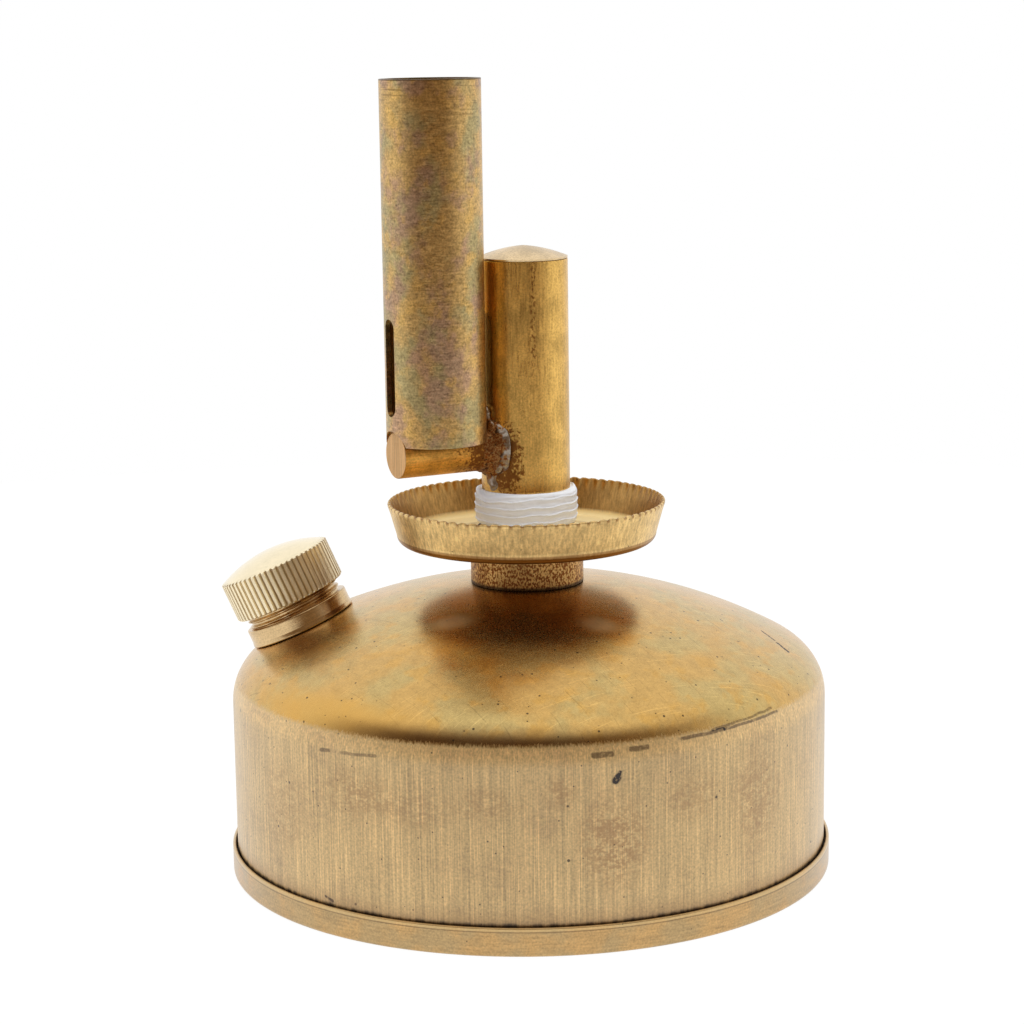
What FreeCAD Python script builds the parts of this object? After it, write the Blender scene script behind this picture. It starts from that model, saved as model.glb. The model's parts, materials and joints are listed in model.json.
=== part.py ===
import FreeCAD
import Part
import math
import os

# Driving dimensions, in millimetres and degrees.
# The origin is the centre of the base's underside, +Z is up, and the filler neck leans towards -X.

# Tank shell and base pan
tank_radius = 54.1
tank_sheet = 0.7
dome_radius = 103.0
dome_top = 52.7
shoulder_radius = 9.7
pan_radius = 55.0
pan_height = 5.1
pan_sheet = 0.6
pan_floor = 0.8
pan_edge_round = 0.7
seam_solder_height = 1.6

# Boss on the dome
boss_radius = 10.25
spigot_radius = 9.0
boss_foot = 50.2
boss_throat_radius = 5.8
boss_throat_top = 52.6
tray_seat = 59.7
boss_top = 62.6
edge_break = 0.3
solder_leg = 0.9
solder_hollow = 0.3

# Preheating tray
tray_rim_radius = 25.15
tray_rim_height = 67.05
tray_foot_radius = 23.6
tray_corner_radius = 1.6
tray_sheet = 0.6
tray_crimps = 80
crimp_depth = 0.22
crimp_height = 2.6
crimp_tip_radius = 0.05
crimp_mouth_radius = 0.6
crimp_overrun = 0.2

# Both threads: how far a ridge is sunk into its wall
thread_sink = 0.15

# Filler neck and cap, with heights measured outwards from the dome along the neck's axis
neck_lean = 24.0
neck_bore_radius = 7.3
neck_spigot_radius = 8.4
neck_spigot_depth = 2.0
neck_collar_radius = 9.8
neck_collar_foot_radius = 10.0
neck_collar_height = 2.9
neck_collar_flare = 0.9
neck_hole_reach = 5.0
neck_height = 10.6
neck_pitch = 1.0
neck_thread_root = 8.45
neck_thread_crest = 9.0
neck_root_half = 0.34
neck_crest_half = 0.08
cap_thread_root = 9.15
cap_thread_crest = 8.6
neck_thread_low = 2.7
neck_thread_high = 9.9
cap_thread_low = neck_thread_low + 3.5 * neck_pitch
cap_thread_turns = 3
cap_radius = 10.5
cap_foot = 5.2
cap_edge = 12.5
cap_crown = 15.0
cap_ceiling = 12.0
cap_flutes = 60
flute_depth = 0.38
flute_land = 0.2
flute_overrun = 1.0
gasket_inner_radius = 6.9
gasket_outer_radius = 8.95
gasket_clearance = 0.15

# Head: foot, vaporiser, arm, jet and burner tube
head_turned = 214.0
head_foot = 62.9
foot_low = 53.4
foot_plug_top = 68.0
foot_bore_radius = 4.6
foot_pitch = 1.5
foot_thread_root = 6.2
foot_thread_crest = 7.0
foot_root_half = 0.52
foot_crest_half = 0.12
foot_thread_low = 54.25
foot_thread_high = 61.9
boss_thread_root = 7.15
boss_thread_crest = 6.35
vaporiser_radius = 8.0
vaporiser_wall = 0.8
vaporiser_top = 110.85
seam_width = 0.1
cone_edge = 0.2
cone_top = 113.4
cone_plug = 3.4
cone_tip_radius = 1.2
arm_height = 77.45
arm_radius = 4.1
arm_start = 6.5
arm_end = 25.9
gallery_radius = 1.25
gallery_end = 19.6
burner_offset = 17.8
burner_radius = 8.9
burner_wall = 0.9
burner_low = 79.25
burner_top = 142.95
slot_width = 3.4
slot_low = 84.4
slot_high = 101.6
notch_radius = 4.4
jet_stem_radius = 1.5
jet_collar_radius = 2.4
jet_collar_height = 1.0
jet_seat_clearance = 0.2
jet_seat = 80.9
jet_tip = 83.2
jet_orifice_radius = 0.3
jet_orifice_length = 1.0
jet_bore_taper = 0.5
jet_tip_radius = 0.9
braze_radius = 6.2
braze_start = 6.9
braze_end = 11.0
braze_hollow_out = 0.28
braze_hollow_along = 0.45
drip_radius = 2.0
drip_offset = 6.75
drip_turned = 9.0
drip_low = 71.9

# Seal tape round the vaporiser's foot
tape_low = 63.2
tape_high = 69.5
tape_core_radius = 8.55
strand_radius = 0.45
tape_coil_radius = 9.05
tape_pitch = 1.4
tape_loops = 4

# Wick
strand_count = 6
wick_strand_radius = 1.3
wick_spacing = 2.8
wick_top = 100.0
wick_low = 4.0
splay_height = 38.0
splay_angle = 20.0
splay_radius = 40.0

dome_centre = dome_top - dome_radius
Z_AXIS = FreeCAD.Vector(0, 0, 1)


def sphere_height(radius, sphere=dome_radius):
    """Height over a sphere's centre of the circle of this radius on the sphere."""
    return math.sqrt(sphere ** 2 - radius ** 2)


def dome_height(radius):
    """Height of the dome's skin at this distance from the tank's axis."""
    return dome_centre + sphere_height(radius)


def around(centre, radius, angle):
    """Point on a circle in the half plane of radius and height; the angle is in radians above level."""
    return (centre[0] + radius * math.cos(angle), centre[1] + radius * math.sin(angle))


def turned(*outline):
    """Solid turned about Z from corners (radius, height); a pair of points is an arc's middle and end."""
    edges = []
    first = FreeCAD.Vector(outline[0][0], 0, outline[0][1])
    last = first
    for item in outline[1:]:
        if isinstance(item[0], tuple):
            middle = FreeCAD.Vector(item[0][0], 0, item[0][1])
            end = FreeCAD.Vector(item[1][0], 0, item[1][1])
            edges.append(Part.Arc(last, middle, end).toShape())
        else:
            end = FreeCAD.Vector(item[0], 0, item[1])
            edges.append(Part.LineSegment(last, end).toShape())
        last = end
    if last != first:
        edges.append(Part.LineSegment(last, first).toShape())
    face = Part.Face(Part.Wire(edges))
    return face.revolve(FreeCAD.Vector(), Z_AXIS, 360)


def bar_along_x(radius, start, end, height):
    """Round bar along +X at this height."""
    return Part.makeCylinder(radius, end - start, FreeCAD.Vector(start, 0, height), FreeCAD.Vector(1, 0, 0))


def upright(radius, low, high, offset=0.0):
    """Round upright bar whose axis stands at this distance along +X."""
    return Part.makeCylinder(radius, high - low, FreeCAD.Vector(offset, 0, low))


def on_neck(shape):
    """Move a shape from the neck's own frame, with Z out of the dome's centre, to its place."""
    lean = FreeCAD.Rotation(FreeCAD.Vector(0, 1, 0), -neck_lean)
    shape.Placement = FreeCAD.Placement(FreeCAD.Vector(0, 0, dome_centre), lean).multiply(shape.Placement)
    return shape


def on_head(shape):
    """Turn a shape from the head's own frame, with the arm along +X, to the photographed direction."""
    shape.rotate(FreeCAD.Vector(), Z_AXIS, head_turned)
    return shape


def thread_ridge(root, crest, root_half, crest_half, pitch, low, high):
    """Right-handed helical ridge, sunk a little past its root so that it joins the wall it stands on."""
    sunk = root + math.copysign(thread_sink, root - crest)
    sunk_half = root_half + (root_half - crest_half) * thread_sink / abs(root - crest)
    section = Part.makePolygon([
        FreeCAD.Vector(sunk, 0, -sunk_half),
        FreeCAD.Vector(crest, 0, -crest_half),
        FreeCAD.Vector(crest, 0, crest_half),
        FreeCAD.Vector(sunk, 0, sunk_half),
        FreeCAD.Vector(sunk, 0, -sunk_half),
    ])
    helix = Part.makeHelix(pitch, high - low, root)
    ridge = Part.Wire(helix).makePipeShell([section], True, True)
    ridge.translate(FreeCAD.Vector(0, 0, low))
    return ridge


def neck_ridge(root, crest, low, high):
    """Ridge of the neck's fine thread."""
    return thread_ridge(root, crest, neck_root_half, neck_crest_half, neck_pitch, dome_radius + low,
                        dome_radius + high)


def foot_ridge(root, crest, low, high):
    """Ridge of the head's coarser thread."""
    return thread_ridge(root, crest, foot_root_half, foot_crest_half, foot_pitch, low, high)


def tank_shell():
    """Drawn tank: wall, round shoulder and dome in one sheet, with holes for the boss and the neck."""
    shoulder_centre_radius = tank_radius - shoulder_radius
    rise = math.sqrt((dome_radius - shoulder_radius) ** 2 - shoulder_centre_radius ** 2)
    shoulder_centre = (shoulder_centre_radius, dome_centre + rise)
    blend = math.atan2(rise, shoulder_centre_radius)

    def skin(inset):
        """Points of one face of the sheet, from the boss hole down to the end of the shoulder."""
        dome = dome_radius - inset
        corner = shoulder_radius - inset
        hole_angle = math.acos(spigot_radius / dome)
        return (
            around((0, dome_centre), dome, hole_angle),
            around((0, dome_centre), dome, (hole_angle + blend) / 2),
            around((0, dome_centre), dome, blend),
            around(shoulder_centre, corner, blend / 2),
            around(shoulder_centre, corner, 0),
        )

    hole, dome_middle, dome_end, corner_middle, wall_top = skin(0)
    inner_hole, inner_dome_middle, inner_dome_end, inner_corner_middle, inner_wall_top = skin(tank_sheet)
    shell = turned(
        hole,
        (dome_middle, dome_end),
        (corner_middle, wall_top),
        (wall_top[0], pan_floor),
        (inner_wall_top[0], pan_floor),
        inner_wall_top,
        (inner_corner_middle, inner_dome_end),
        (inner_dome_middle, inner_hole),
    )
    neck_drill = upright(neck_spigot_radius, dome_radius - neck_hole_reach, dome_radius + neck_hole_reach)
    return shell.cut(on_neck(neck_drill))


def base_pan():
    """Flat base with an upturned rim, rounded below and along its lip."""
    inner = pan_radius - pan_sheet
    corner = (pan_radius - pan_edge_round, pan_edge_round)
    lip = (pan_radius - pan_sheet / 2, pan_height - pan_sheet / 2)
    return turned(
        (0, 0),
        (corner[0], 0),
        (around(corner, pan_edge_round, -math.pi / 4), (pan_radius, corner[1])),
        (pan_radius, lip[1]),
        (around(lip, pan_sheet / 2, math.pi / 2), (inner, lip[1])),
        (inner, pan_floor),
        (0, pan_floor),
    )


def base_solder():
    """Solder that fills the foot of the gap between the tank's wall and the pan's rim."""
    inner = pan_radius - pan_sheet
    top = pan_floor + seam_solder_height
    return turned((tank_radius, pan_floor), (inner, pan_floor), (inner, top), (tank_radius, top))


def inner_fillet(spigot, sphere, foot):
    """Concave ring of solder under a domed sheet, round a spigot, in the frame of the dome's centre."""
    start = sphere_height(spigot, sphere)
    reach = sphere_height(spigot + solder_leg, sphere)
    low = max(start - solder_leg, foot)
    hollow = (spigot + solder_leg * solder_hollow, start - solder_leg * solder_hollow)
    middle = (spigot + solder_leg / 2, sphere_height(spigot + solder_leg / 2, sphere))
    return turned((spigot, start), (spigot, low), (hollow, (spigot + solder_leg, reach)),
                  (middle, (spigot, start)))


def head_boss():
    """Collar on the dome: a spigot through the sheet, a seat for the tray and the head's thread inside."""
    collar_foot = dome_height(spigot_radius)
    body = turned(
        (boss_throat_radius, boss_foot),
        (spigot_radius, boss_foot),
        (spigot_radius, collar_foot),
        (boss_radius, collar_foot),
        (boss_radius, tray_seat),
        (spigot_radius, tray_seat),
        (spigot_radius, boss_top - edge_break),
        (spigot_radius - edge_break, boss_top),
        (boss_thread_root, boss_top),
        (boss_thread_root, boss_throat_top),
        (boss_throat_radius, boss_throat_top),
    )
    low = foot_thread_low - foot_pitch / 2
    high = boss_top - foot_pitch / 2
    return body.fuse(foot_ridge(boss_thread_root, boss_thread_crest, low, high))


def boss_solder():
    """Solder inside the tank round the boss's spigot."""
    ring = inner_fillet(spigot_radius, dome_radius - tank_sheet, boss_foot - dome_centre)
    ring.translate(FreeCAD.Vector(0, 0, dome_centre))
    return ring


def preheat_tray():
    """Dish with a flared wall and a crimped rim, seated on the boss."""
    corner = (tray_foot_radius - tray_corner_radius, tray_seat + tray_corner_radius)
    inner_corner = tray_corner_radius - tray_sheet
    dish = turned(
        (spigot_radius, tray_seat),
        (corner[0], tray_seat),
        (around(corner, tray_corner_radius, -math.pi / 4), (tray_foot_radius, corner[1])),
        (tray_rim_radius, tray_rim_height),
        (tray_rim_radius - tray_sheet, tray_rim_height),
        (tray_foot_radius - tray_sheet, corner[1]),
        (around(corner, inner_corner, -math.pi / 4), (corner[0], tray_seat + tray_sheet)),
        (spigot_radius, tray_seat + tray_sheet),
    )
    inner_rim = tray_rim_radius - tray_sheet
    dent_place = FreeCAD.Vector(inner_rim + crimp_depth - crimp_mouth_radius, 0,
                                tray_rim_height - crimp_height + crimp_overrun)
    dent = Part.makeCone(crimp_tip_radius, crimp_mouth_radius, crimp_height, dent_place)
    dents = []
    for step in range(tray_crimps):
        one = dent.copy()
        one.rotate(FreeCAD.Vector(), Z_AXIS, 360 * step / tray_crimps)
        dents.append(one)
    return dish.cut(Part.Compound(dents))


def tray_solder():
    """Concave ring of solder on the tray's floor, round the boss's upper spigot."""
    floor = tray_seat + tray_sheet
    hollow = (spigot_radius + solder_leg * solder_hollow, floor + solder_leg * solder_hollow)
    return turned((spigot_radius, floor), (spigot_radius + solder_leg, floor),
                  (hollow, (spigot_radius, floor + solder_leg)))


def filler_neck():
    """Leaning neck with a spigot through the dome, a plain collar and an outside thread."""
    collar_foot = sphere_height(neck_spigot_radius)
    collar_top = dome_radius + neck_collar_height
    top = dome_radius + neck_height
    body = turned(
        (neck_bore_radius, dome_radius - neck_spigot_depth),
        (neck_spigot_radius, dome_radius - neck_spigot_depth),
        (neck_spigot_radius, collar_foot),
        (neck_collar_foot_radius, collar_foot),
        (neck_collar_radius, collar_foot + neck_collar_flare),
        (neck_collar_radius, collar_top - edge_break),
        (neck_collar_radius - edge_break, collar_top),
        (neck_thread_root, collar_top),
        (neck_thread_root, top - edge_break),
        (neck_thread_root - edge_break, top),
        (neck_bore_radius, top),
    )
    ridge = neck_ridge(neck_thread_root, neck_thread_crest, neck_thread_low, neck_thread_high)
    return on_neck(body.fuse(ridge))


def neck_solder():
    """Solder inside the tank round the neck's spigot."""
    foot = dome_radius - neck_spigot_depth
    ring = on_neck(inner_fillet(neck_spigot_radius, dome_radius - tank_sheet, foot))
    return ring.cut(tank_shell())


def fluted_prism(radius, depth, count, low, high):
    """Upright prism with rounded flutes all round."""
    step = 2 * math.pi / count

    def rim(angle, inset=0.0):
        return FreeCAD.Vector((radius - inset) * math.cos(angle), (radius - inset) * math.sin(angle), low)

    edges = []
    for index in range(count):
        ridge = index * step
        land = flute_land * step
        edges.append(Part.Arc(rim(ridge - land), rim(ridge), rim(ridge + land)).toShape())
        flute_middle = rim(ridge + step / 2, depth)
        edges.append(Part.Arc(rim(ridge + land), flute_middle, rim(ridge + step - land)).toShape())
    return Part.Face(Part.Wire(edges)).extrude(FreeCAD.Vector(0, 0, high - low))


def filler_cap():
    """Screw cap with a fluted grip, a low domed crown and a thread inside."""
    foot = dome_radius + cap_foot
    edge = dome_radius + cap_edge
    crown = dome_radius + cap_crown
    ceiling = dome_radius + cap_ceiling
    rise = cap_crown - cap_edge
    crown_radius = (cap_radius ** 2 + rise ** 2) / (2 * rise)
    half = cap_radius / 2
    crown_middle = (half, crown - crown_radius + sphere_height(half, crown_radius))
    body = turned(
        (cap_thread_root, foot),
        (cap_radius - edge_break, foot),
        (cap_radius, foot + edge_break),
        (cap_radius, edge),
        (crown_middle, (0, crown)),
        (0, ceiling),
        (cap_thread_root, ceiling),
    )
    flutes = fluted_prism(cap_radius, flute_depth, cap_flutes, foot - flute_overrun, crown + flute_overrun)
    grip = body.common(flutes)
    thread_top = cap_thread_low + cap_thread_turns * neck_pitch
    ridge = neck_ridge(cap_thread_root, cap_thread_crest, cap_thread_low, thread_top)
    return on_neck(grip.fuse(ridge))


def cap_gasket():
    """Flat washer between the neck's mouth and the cap's ceiling."""
    low = dome_radius + neck_height + gasket_clearance
    high = dome_radius + cap_ceiling - gasket_clearance
    return on_neck(turned(
        (gasket_inner_radius, low),
        (gasket_outer_radius, low),
        (gasket_outer_radius, high),
        (gasket_inner_radius, high),
    ))


def threaded_foot():
    """Hollow foot: a male thread in the boss and a plug in the vaporiser."""
    plug_radius = vaporiser_radius - vaporiser_wall
    body = turned(
        (foot_bore_radius, foot_low),
        (foot_thread_root - edge_break, foot_low),
        (foot_thread_root, foot_low + edge_break),
        (foot_thread_root, head_foot),
        (plug_radius, head_foot),
        (plug_radius, foot_plug_top),
        (foot_bore_radius, foot_plug_top),
    )
    return body.fuse(foot_ridge(foot_thread_root, foot_thread_crest, foot_thread_low, foot_thread_high))


def vaporiser_tube():
    """Upright tube with a side hole for the arm."""
    inner = vaporiser_radius - vaporiser_wall
    tube = upright(vaporiser_radius, head_foot, vaporiser_top).cut(upright(inner, head_foot, vaporiser_top))
    return on_head(tube.cut(bar_along_x(arm_radius, 0, burner_offset, arm_height)))


def vaporiser_cap():
    """Shallow cone with a slightly rounded tip and a plug that closes the top of the vaporiser."""
    edge = vaporiser_top + seam_width
    slope = (cone_top - edge - cone_edge) / vaporiser_radius
    tip_edge = cone_top - slope * cone_tip_radius
    tip_centre = (0, tip_edge - cone_tip_radius / slope)
    tip_sphere = math.hypot(cone_tip_radius, cone_tip_radius / slope)
    tip_angle = math.acos(cone_tip_radius / tip_sphere)
    plug_radius = vaporiser_radius - vaporiser_wall
    return turned(
        (0, vaporiser_top - cone_plug),
        (plug_radius, vaporiser_top - cone_plug),
        (plug_radius, edge),
        (vaporiser_radius, edge),
        (vaporiser_radius, edge + cone_edge),
        (cone_tip_radius, tip_edge),
        (around(tip_centre, tip_sphere, (tip_angle + math.pi / 2) / 2), (0, tip_centre[1] + tip_sphere)),
    )


def vapour_arm():
    """Cross bar, drilled from the vaporiser's end, with a seat and a hole for the jet."""
    bar = bar_along_x(arm_radius, arm_start, arm_end, arm_height)
    gallery = bar_along_x(gallery_radius, arm_start, gallery_end, arm_height)
    jet_hole = upright(jet_stem_radius, arm_height, jet_seat, burner_offset)
    seat = upright(jet_collar_radius + jet_seat_clearance, jet_seat, arm_height + arm_radius, burner_offset)
    return on_head(bar.cut(gallery).cut(jet_hole).cut(seat))


def jet_nozzle():
    """Jet with a stem in the arm, a collar on its seat and a fine hole at its tip."""
    stem_bore = jet_stem_radius / 2
    jet = turned(
        (stem_bore, arm_height + gallery_radius),
        (jet_stem_radius, arm_height + gallery_radius),
        (jet_stem_radius, jet_seat),
        (jet_collar_radius, jet_seat),
        (jet_collar_radius, jet_seat + jet_collar_height),
        (jet_tip_radius, jet_tip),
        (jet_orifice_radius, jet_tip),
        (jet_orifice_radius, jet_tip - jet_orifice_length),
        (stem_bore, jet_tip - jet_orifice_length - jet_bore_taper),
    )
    jet.translate(FreeCAD.Vector(burner_offset, 0, 0))
    return on_head(jet)


def burner_bar():
    """Solid bar with the burner tube's outside."""
    return upright(burner_radius, burner_low, burner_top, burner_offset)


def upright_burner():
    """Burner tube in the head's own frame, with its air slots and the notches over the arm."""
    start = 0
    end = 2 * burner_offset
    tube = burner_bar().cut(upright(burner_radius - burner_wall, burner_low, burner_top, burner_offset))
    half = slot_width / 2
    low_end = bar_along_x(half, start, end, slot_low + half)
    high_end = bar_along_x(half, start, end, slot_high - half)
    middle = Part.makeBox(end, slot_width, slot_high - slot_low - slot_width,
                          FreeCAD.Vector(start, -half, slot_low + half))
    slot = middle.fuse([low_end, high_end])
    return tube.cut(slot).cut(bar_along_x(notch_radius, start, end, arm_height))


def braze_bead():
    """Concave bead round the arm where it leaves the vaporiser, before its neighbours are taken out of it."""
    length = braze_end - braze_start
    leg = braze_radius - arm_radius
    hollow = (arm_radius + leg * braze_hollow_out, braze_start + length * braze_hollow_along)
    bead = turned(
        (arm_radius, braze_start),
        (braze_radius, braze_start),
        (hollow, (arm_radius, braze_end)),
    )
    bead.rotate(FreeCAD.Vector(), FreeCAD.Vector(0, 1, 0), 90)
    bead.translate(FreeCAD.Vector(0, 0, arm_height))
    return bead


def arm_braze():
    """Braze at the vaporiser, with a run that has dripped down towards the tape."""
    drip_top = arm_height
    drip = upright(drip_radius, drip_low, drip_top, drip_offset)
    drip_end = Part.makeSphere(drip_radius, FreeCAD.Vector(drip_offset, 0, drip_low))
    run = drip.fuse(drip_end)
    run.rotate(FreeCAD.Vector(), Z_AXIS, drip_turned)
    arm = bar_along_x(arm_radius, 0, arm_end, arm_height)
    braze = braze_bead().fuse(run).cut(arm)
    vaporiser = upright(vaporiser_radius, head_foot, vaporiser_top)
    return on_head(braze.cut(vaporiser).cut(burner_bar()))


def tube_braze():
    """Braze between the arm and the burner tube's inner notch."""
    return on_head(braze_bead().common(burner_bar()).cut(upright_burner()))


def burner_tube():
    """Burner tube in its place."""
    return on_head(upright_burner())


def tape_core():
    """Inner layers of the tape, as one sleeve."""
    return upright(tape_core_radius, tape_low, tape_high).cut(upright(vaporiser_radius, tape_low, tape_high))


def tape_station(quarter):
    """Point and direction of the tape's outer winding after this many quarter turns."""
    angle = quarter * math.pi / 2
    climb = tape_pitch / (2 * math.pi * tape_coil_radius)
    rest = tape_high - tape_low - 2 * strand_radius - tape_pitch * tape_loops
    low = tape_low + strand_radius + rest / 2
    place = FreeCAD.Vector(tape_coil_radius * math.cos(angle), tape_coil_radius * math.sin(angle),
                           low + tape_pitch * quarter / 4)
    heading = FreeCAD.Vector(-math.sin(angle), math.cos(angle), climb)
    return place, heading.normalize()


def tangent_arc(start, corner, end):
    """Arc from start to end whose end tangents meet at the corner."""
    chord_middle = (start + end) / 2
    to_corner = corner - chord_middle
    half_turn = math.asin(to_corner.Length / (corner - start).Length)
    share = math.cos(half_turn) / (1 + math.cos(half_turn))
    return Part.Arc(start, chord_middle + to_corner * share, end)


def biarc(start, start_heading, end, end_heading):
    """Two arcs that join two points, each keeping its heading, and meet in a common tangent."""
    across = end - start
    both = start_heading + end_heading
    spread = 2 * (1 - start_heading.dot(end_heading))
    along = 2 * across.dot(both)
    reach = (math.sqrt(along ** 2 + 4 * spread * across.dot(across)) - along) / (2 * spread)
    first_corner = start + start_heading * reach
    second_corner = end - end_heading * reach
    joint = (first_corner + second_corner) / 2
    return [tangent_arc(start, first_corner, joint), tangent_arc(joint, second_corner, end)]


def seal_tape():
    """Outer layer of the tape: one rolled strand wound round the core, with straight ends."""
    quarters = 4 * tape_loops
    place, heading = tape_station(0)
    first = place - heading * 2 * strand_radius
    curves = [Part.LineSegment(first, place)]
    for quarter in range(quarters):
        end, end_heading = tape_station(quarter + 1)
        curves += biarc(place, heading, end, end_heading)
        place, heading = end, end_heading
    curves.append(Part.LineSegment(place, place + heading * 2 * strand_radius))
    print_least_gap(curves)
    path = Part.Wire([curve.toShape() for curve in curves])
    start_heading = tape_station(0)[1]
    section = Part.Wire(Part.makeCircle(strand_radius, first, start_heading))
    return path.makePipeShell([section], True, False)


def print_least_gap(curves):
    """Print the winding's least gap to itself, measured between points half a turn or more apart."""
    samples = 6
    points = []
    for curve in curves:
        points += curve.toShape().discretize(samples)[:-1]
    apart = len(points) // (2 * tape_loops)
    gaps = []
    for index, point in enumerate(points):
        gaps += [(point - other).Length for other in points[index + apart:]]
    print(f"seal_tape least gap {min(gaps) - 2 * strand_radius:.2f} mm over {tape_loops} loops")


def wick():
    """Straight core strand with others round it, which splay in the tank."""
    core = upright(wick_strand_radius, wick_low, wick_top)
    splay = math.radians(splay_angle)
    bend_end = FreeCAD.Vector(wick_spacing + splay_radius * (1 - math.cos(splay)), 0,
                              splay_height - splay_radius * math.sin(splay))
    bend_middle = FreeCAD.Vector(wick_spacing + splay_radius * (1 - math.cos(splay / 2)), 0,
                                 splay_height - splay_radius * math.sin(splay / 2))
    top = FreeCAD.Vector(wick_spacing, 0, wick_top)
    bend_start = FreeCAD.Vector(wick_spacing, 0, splay_height)
    drop = bend_end.z - wick_low - wick_strand_radius
    end = bend_end + FreeCAD.Vector(drop * math.tan(splay), 0, -drop)
    path = Part.Wire([
        Part.LineSegment(top, bend_start).toShape(),
        Part.Arc(bend_start, bend_middle, bend_end).toShape(),
        Part.LineSegment(bend_end, end).toShape(),
    ])
    section = Part.Wire(Part.makeCircle(wick_strand_radius, top, Z_AXIS))
    strand = path.makePipeShell([section], True, False)
    strands = [core]
    for index in range(strand_count):
        one = strand.copy()
        one.rotate(FreeCAD.Vector(), Z_AXIS, 360 * index / strand_count)
        strands.append(one)
    return Part.Compound(strands)


pieces = [
    tank_shell, base_pan, base_solder, head_boss, boss_solder, preheat_tray, tray_solder, filler_neck,
    neck_solder, filler_cap, cap_gasket, threaded_foot, vaporiser_tube, vaporiser_cap, vapour_arm, jet_nozzle,
    burner_tube, arm_braze, tube_braze, tape_core, seal_tape, wick,
]

os.makedirs("parts", exist_ok=True)
for piece in pieces:
    shape = piece()
    shape.exportStep(f"parts/{piece.__name__}.step")
    print(f"{piece.__name__}: {len(shape.Solids)} solid, {shape.Volume:.1f} mm3, valid {shape.isValid()}")
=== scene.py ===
"""Brass spirit blast burner: its finished pieces and a plain studio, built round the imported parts."""

import json
import math

import bmesh
import bpy
from mathutils import Matrix, Vector, noise


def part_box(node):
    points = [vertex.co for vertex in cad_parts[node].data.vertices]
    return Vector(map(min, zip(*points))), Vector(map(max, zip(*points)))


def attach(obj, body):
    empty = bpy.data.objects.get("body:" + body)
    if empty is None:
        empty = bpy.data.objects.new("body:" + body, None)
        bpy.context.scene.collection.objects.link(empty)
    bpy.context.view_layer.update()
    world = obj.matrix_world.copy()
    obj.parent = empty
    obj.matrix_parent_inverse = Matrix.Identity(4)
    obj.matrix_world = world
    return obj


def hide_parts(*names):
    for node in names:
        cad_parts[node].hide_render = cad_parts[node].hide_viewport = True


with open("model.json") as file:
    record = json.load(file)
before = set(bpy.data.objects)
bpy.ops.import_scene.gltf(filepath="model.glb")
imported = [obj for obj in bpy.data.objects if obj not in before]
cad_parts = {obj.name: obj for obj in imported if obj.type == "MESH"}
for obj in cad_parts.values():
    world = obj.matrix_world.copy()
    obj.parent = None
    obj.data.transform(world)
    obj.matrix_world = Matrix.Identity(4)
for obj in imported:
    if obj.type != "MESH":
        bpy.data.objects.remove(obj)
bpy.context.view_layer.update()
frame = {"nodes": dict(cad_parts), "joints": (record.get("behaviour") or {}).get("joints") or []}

bl_info = {
    "name": "Brass Spirit Burner",
    "version": (1, 0, 0),
    "blender": (4, 5, 0),
    "location": "View3D > Sidebar > Burner",
    "description": "Builds the finished pieces and the studio of a brass spirit blast burner",
    "category": "Object",
}

MM = 0.001
ON_AXIS = 1e-7
FULL_TURN = 2 * math.pi

# Marks on the tank's wall: angle and height of both ends in degrees and millimetres, half width, darkness
TANK_MARKS = (
    (-55.7, 35.0, -46.2, 35.2, 0.36, 0.7),
    (-46.2, 35.2, -31.0, 35.5, 0.28, 0.65),
    (-48.9, 35.5, -32.4, 36.3, 0.26, 0.6),
    (-72.7, 33.9, -69.4, 33.9, 0.60, 0.7),
    (-65.8, 34.4, -62.8, 34.4, 0.55, 0.7),
    (-68.8, 29.4, -68.4, 29.9, 0.85, 1.0),
    (-68.4, 29.9, -68.0, 30.8, 0.40, 1.0),
    (-119.6, 32.4, -112.2, 32.8, 0.36, 0.5),
    (-124.4, 32.2, -122.4, 32.4, 0.42, 0.55),
    (-124.2, 6.4, -122.5, 5.9, 0.35, 0.9),
)
# Scratches on the dome: both ends seen from above in millimetres, and half width
DOME_MARKS = (
    (42.7, -1.4, 44.9, -3.7, 0.3),
    (45.5, -4.5, 47.3, -6.3, 0.5),
)
# Dull spots on the dome with a painted pale highlight, seen from above: middle, and reach across and along
# in millimetres
DULL_HIGHLIGHT_SPOTS = (
    (-10.5, -23.1, 5.5, 4.5),
    (14.5, -22.2, 5.5, 4.5),
)
# Stains on the tank's wall: angle, height, reach across and up, and darkness
TANK_STAINS = (
    (-116, 25.5, 11, 6, 0.8),
    (-104, 24.0, 8, 5, 0.5),
    (-69, 19, 9, 11, 1.0),
    (-78.5, 28, 4, 4, 0.8),
    (-92, 26, 9, 4, 0.6),
    (-53, 25, 8, 6, 0.6),
    (-38, 22, 9, 13, 0.8),
    (-136, 20, 9, 12, 0.6),
)
# Lumps of braze in the head's frame, with the arm along +X: middle and radii in millimetres
BRAZE_LUMPS = (
    ((7.3, 1.2, 72.6), (1.2, 1.7, 2.4)),
    ((7.2, 1.8, 70.8), (1.0, 1.5, 1.3)),
    ((8.4, 0.9, 82.6), (0.8, 1.4, 2.6)),
    ((8.2, 2.6, 81.2), (1.0, 1.1, 1.5)),
    ((7.7, 4.2, 74.6), (0.9, 0.9, 1.4)),
    ((11.5, 3.4, 79.7), (3.4, 0.6, 0.4)),
)
# Outside of the bead of braze round the arm: radius, distance along the arm and rounding in millimetres
BRAZE_BEAD = (
    (6.2, 6.0, 0.3),
    (5.6, 7.6, 0.5),
    (4.5, 8.8, 0.4),
)
# Directions, seen from above, of the dark line down the vaporiser, of the painted orange glow on the tank's
# shoulder and of the dark band along it, which is a painted dark reflection over darker patina
SEAM_ANGLE = -72
PAINTED_GLOW_ANGLE = -125
SHOULDER_BAND_ANGLE = -93
# Stretch of the hair lines on the dome
HAIR = (40, 1, 40)
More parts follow.
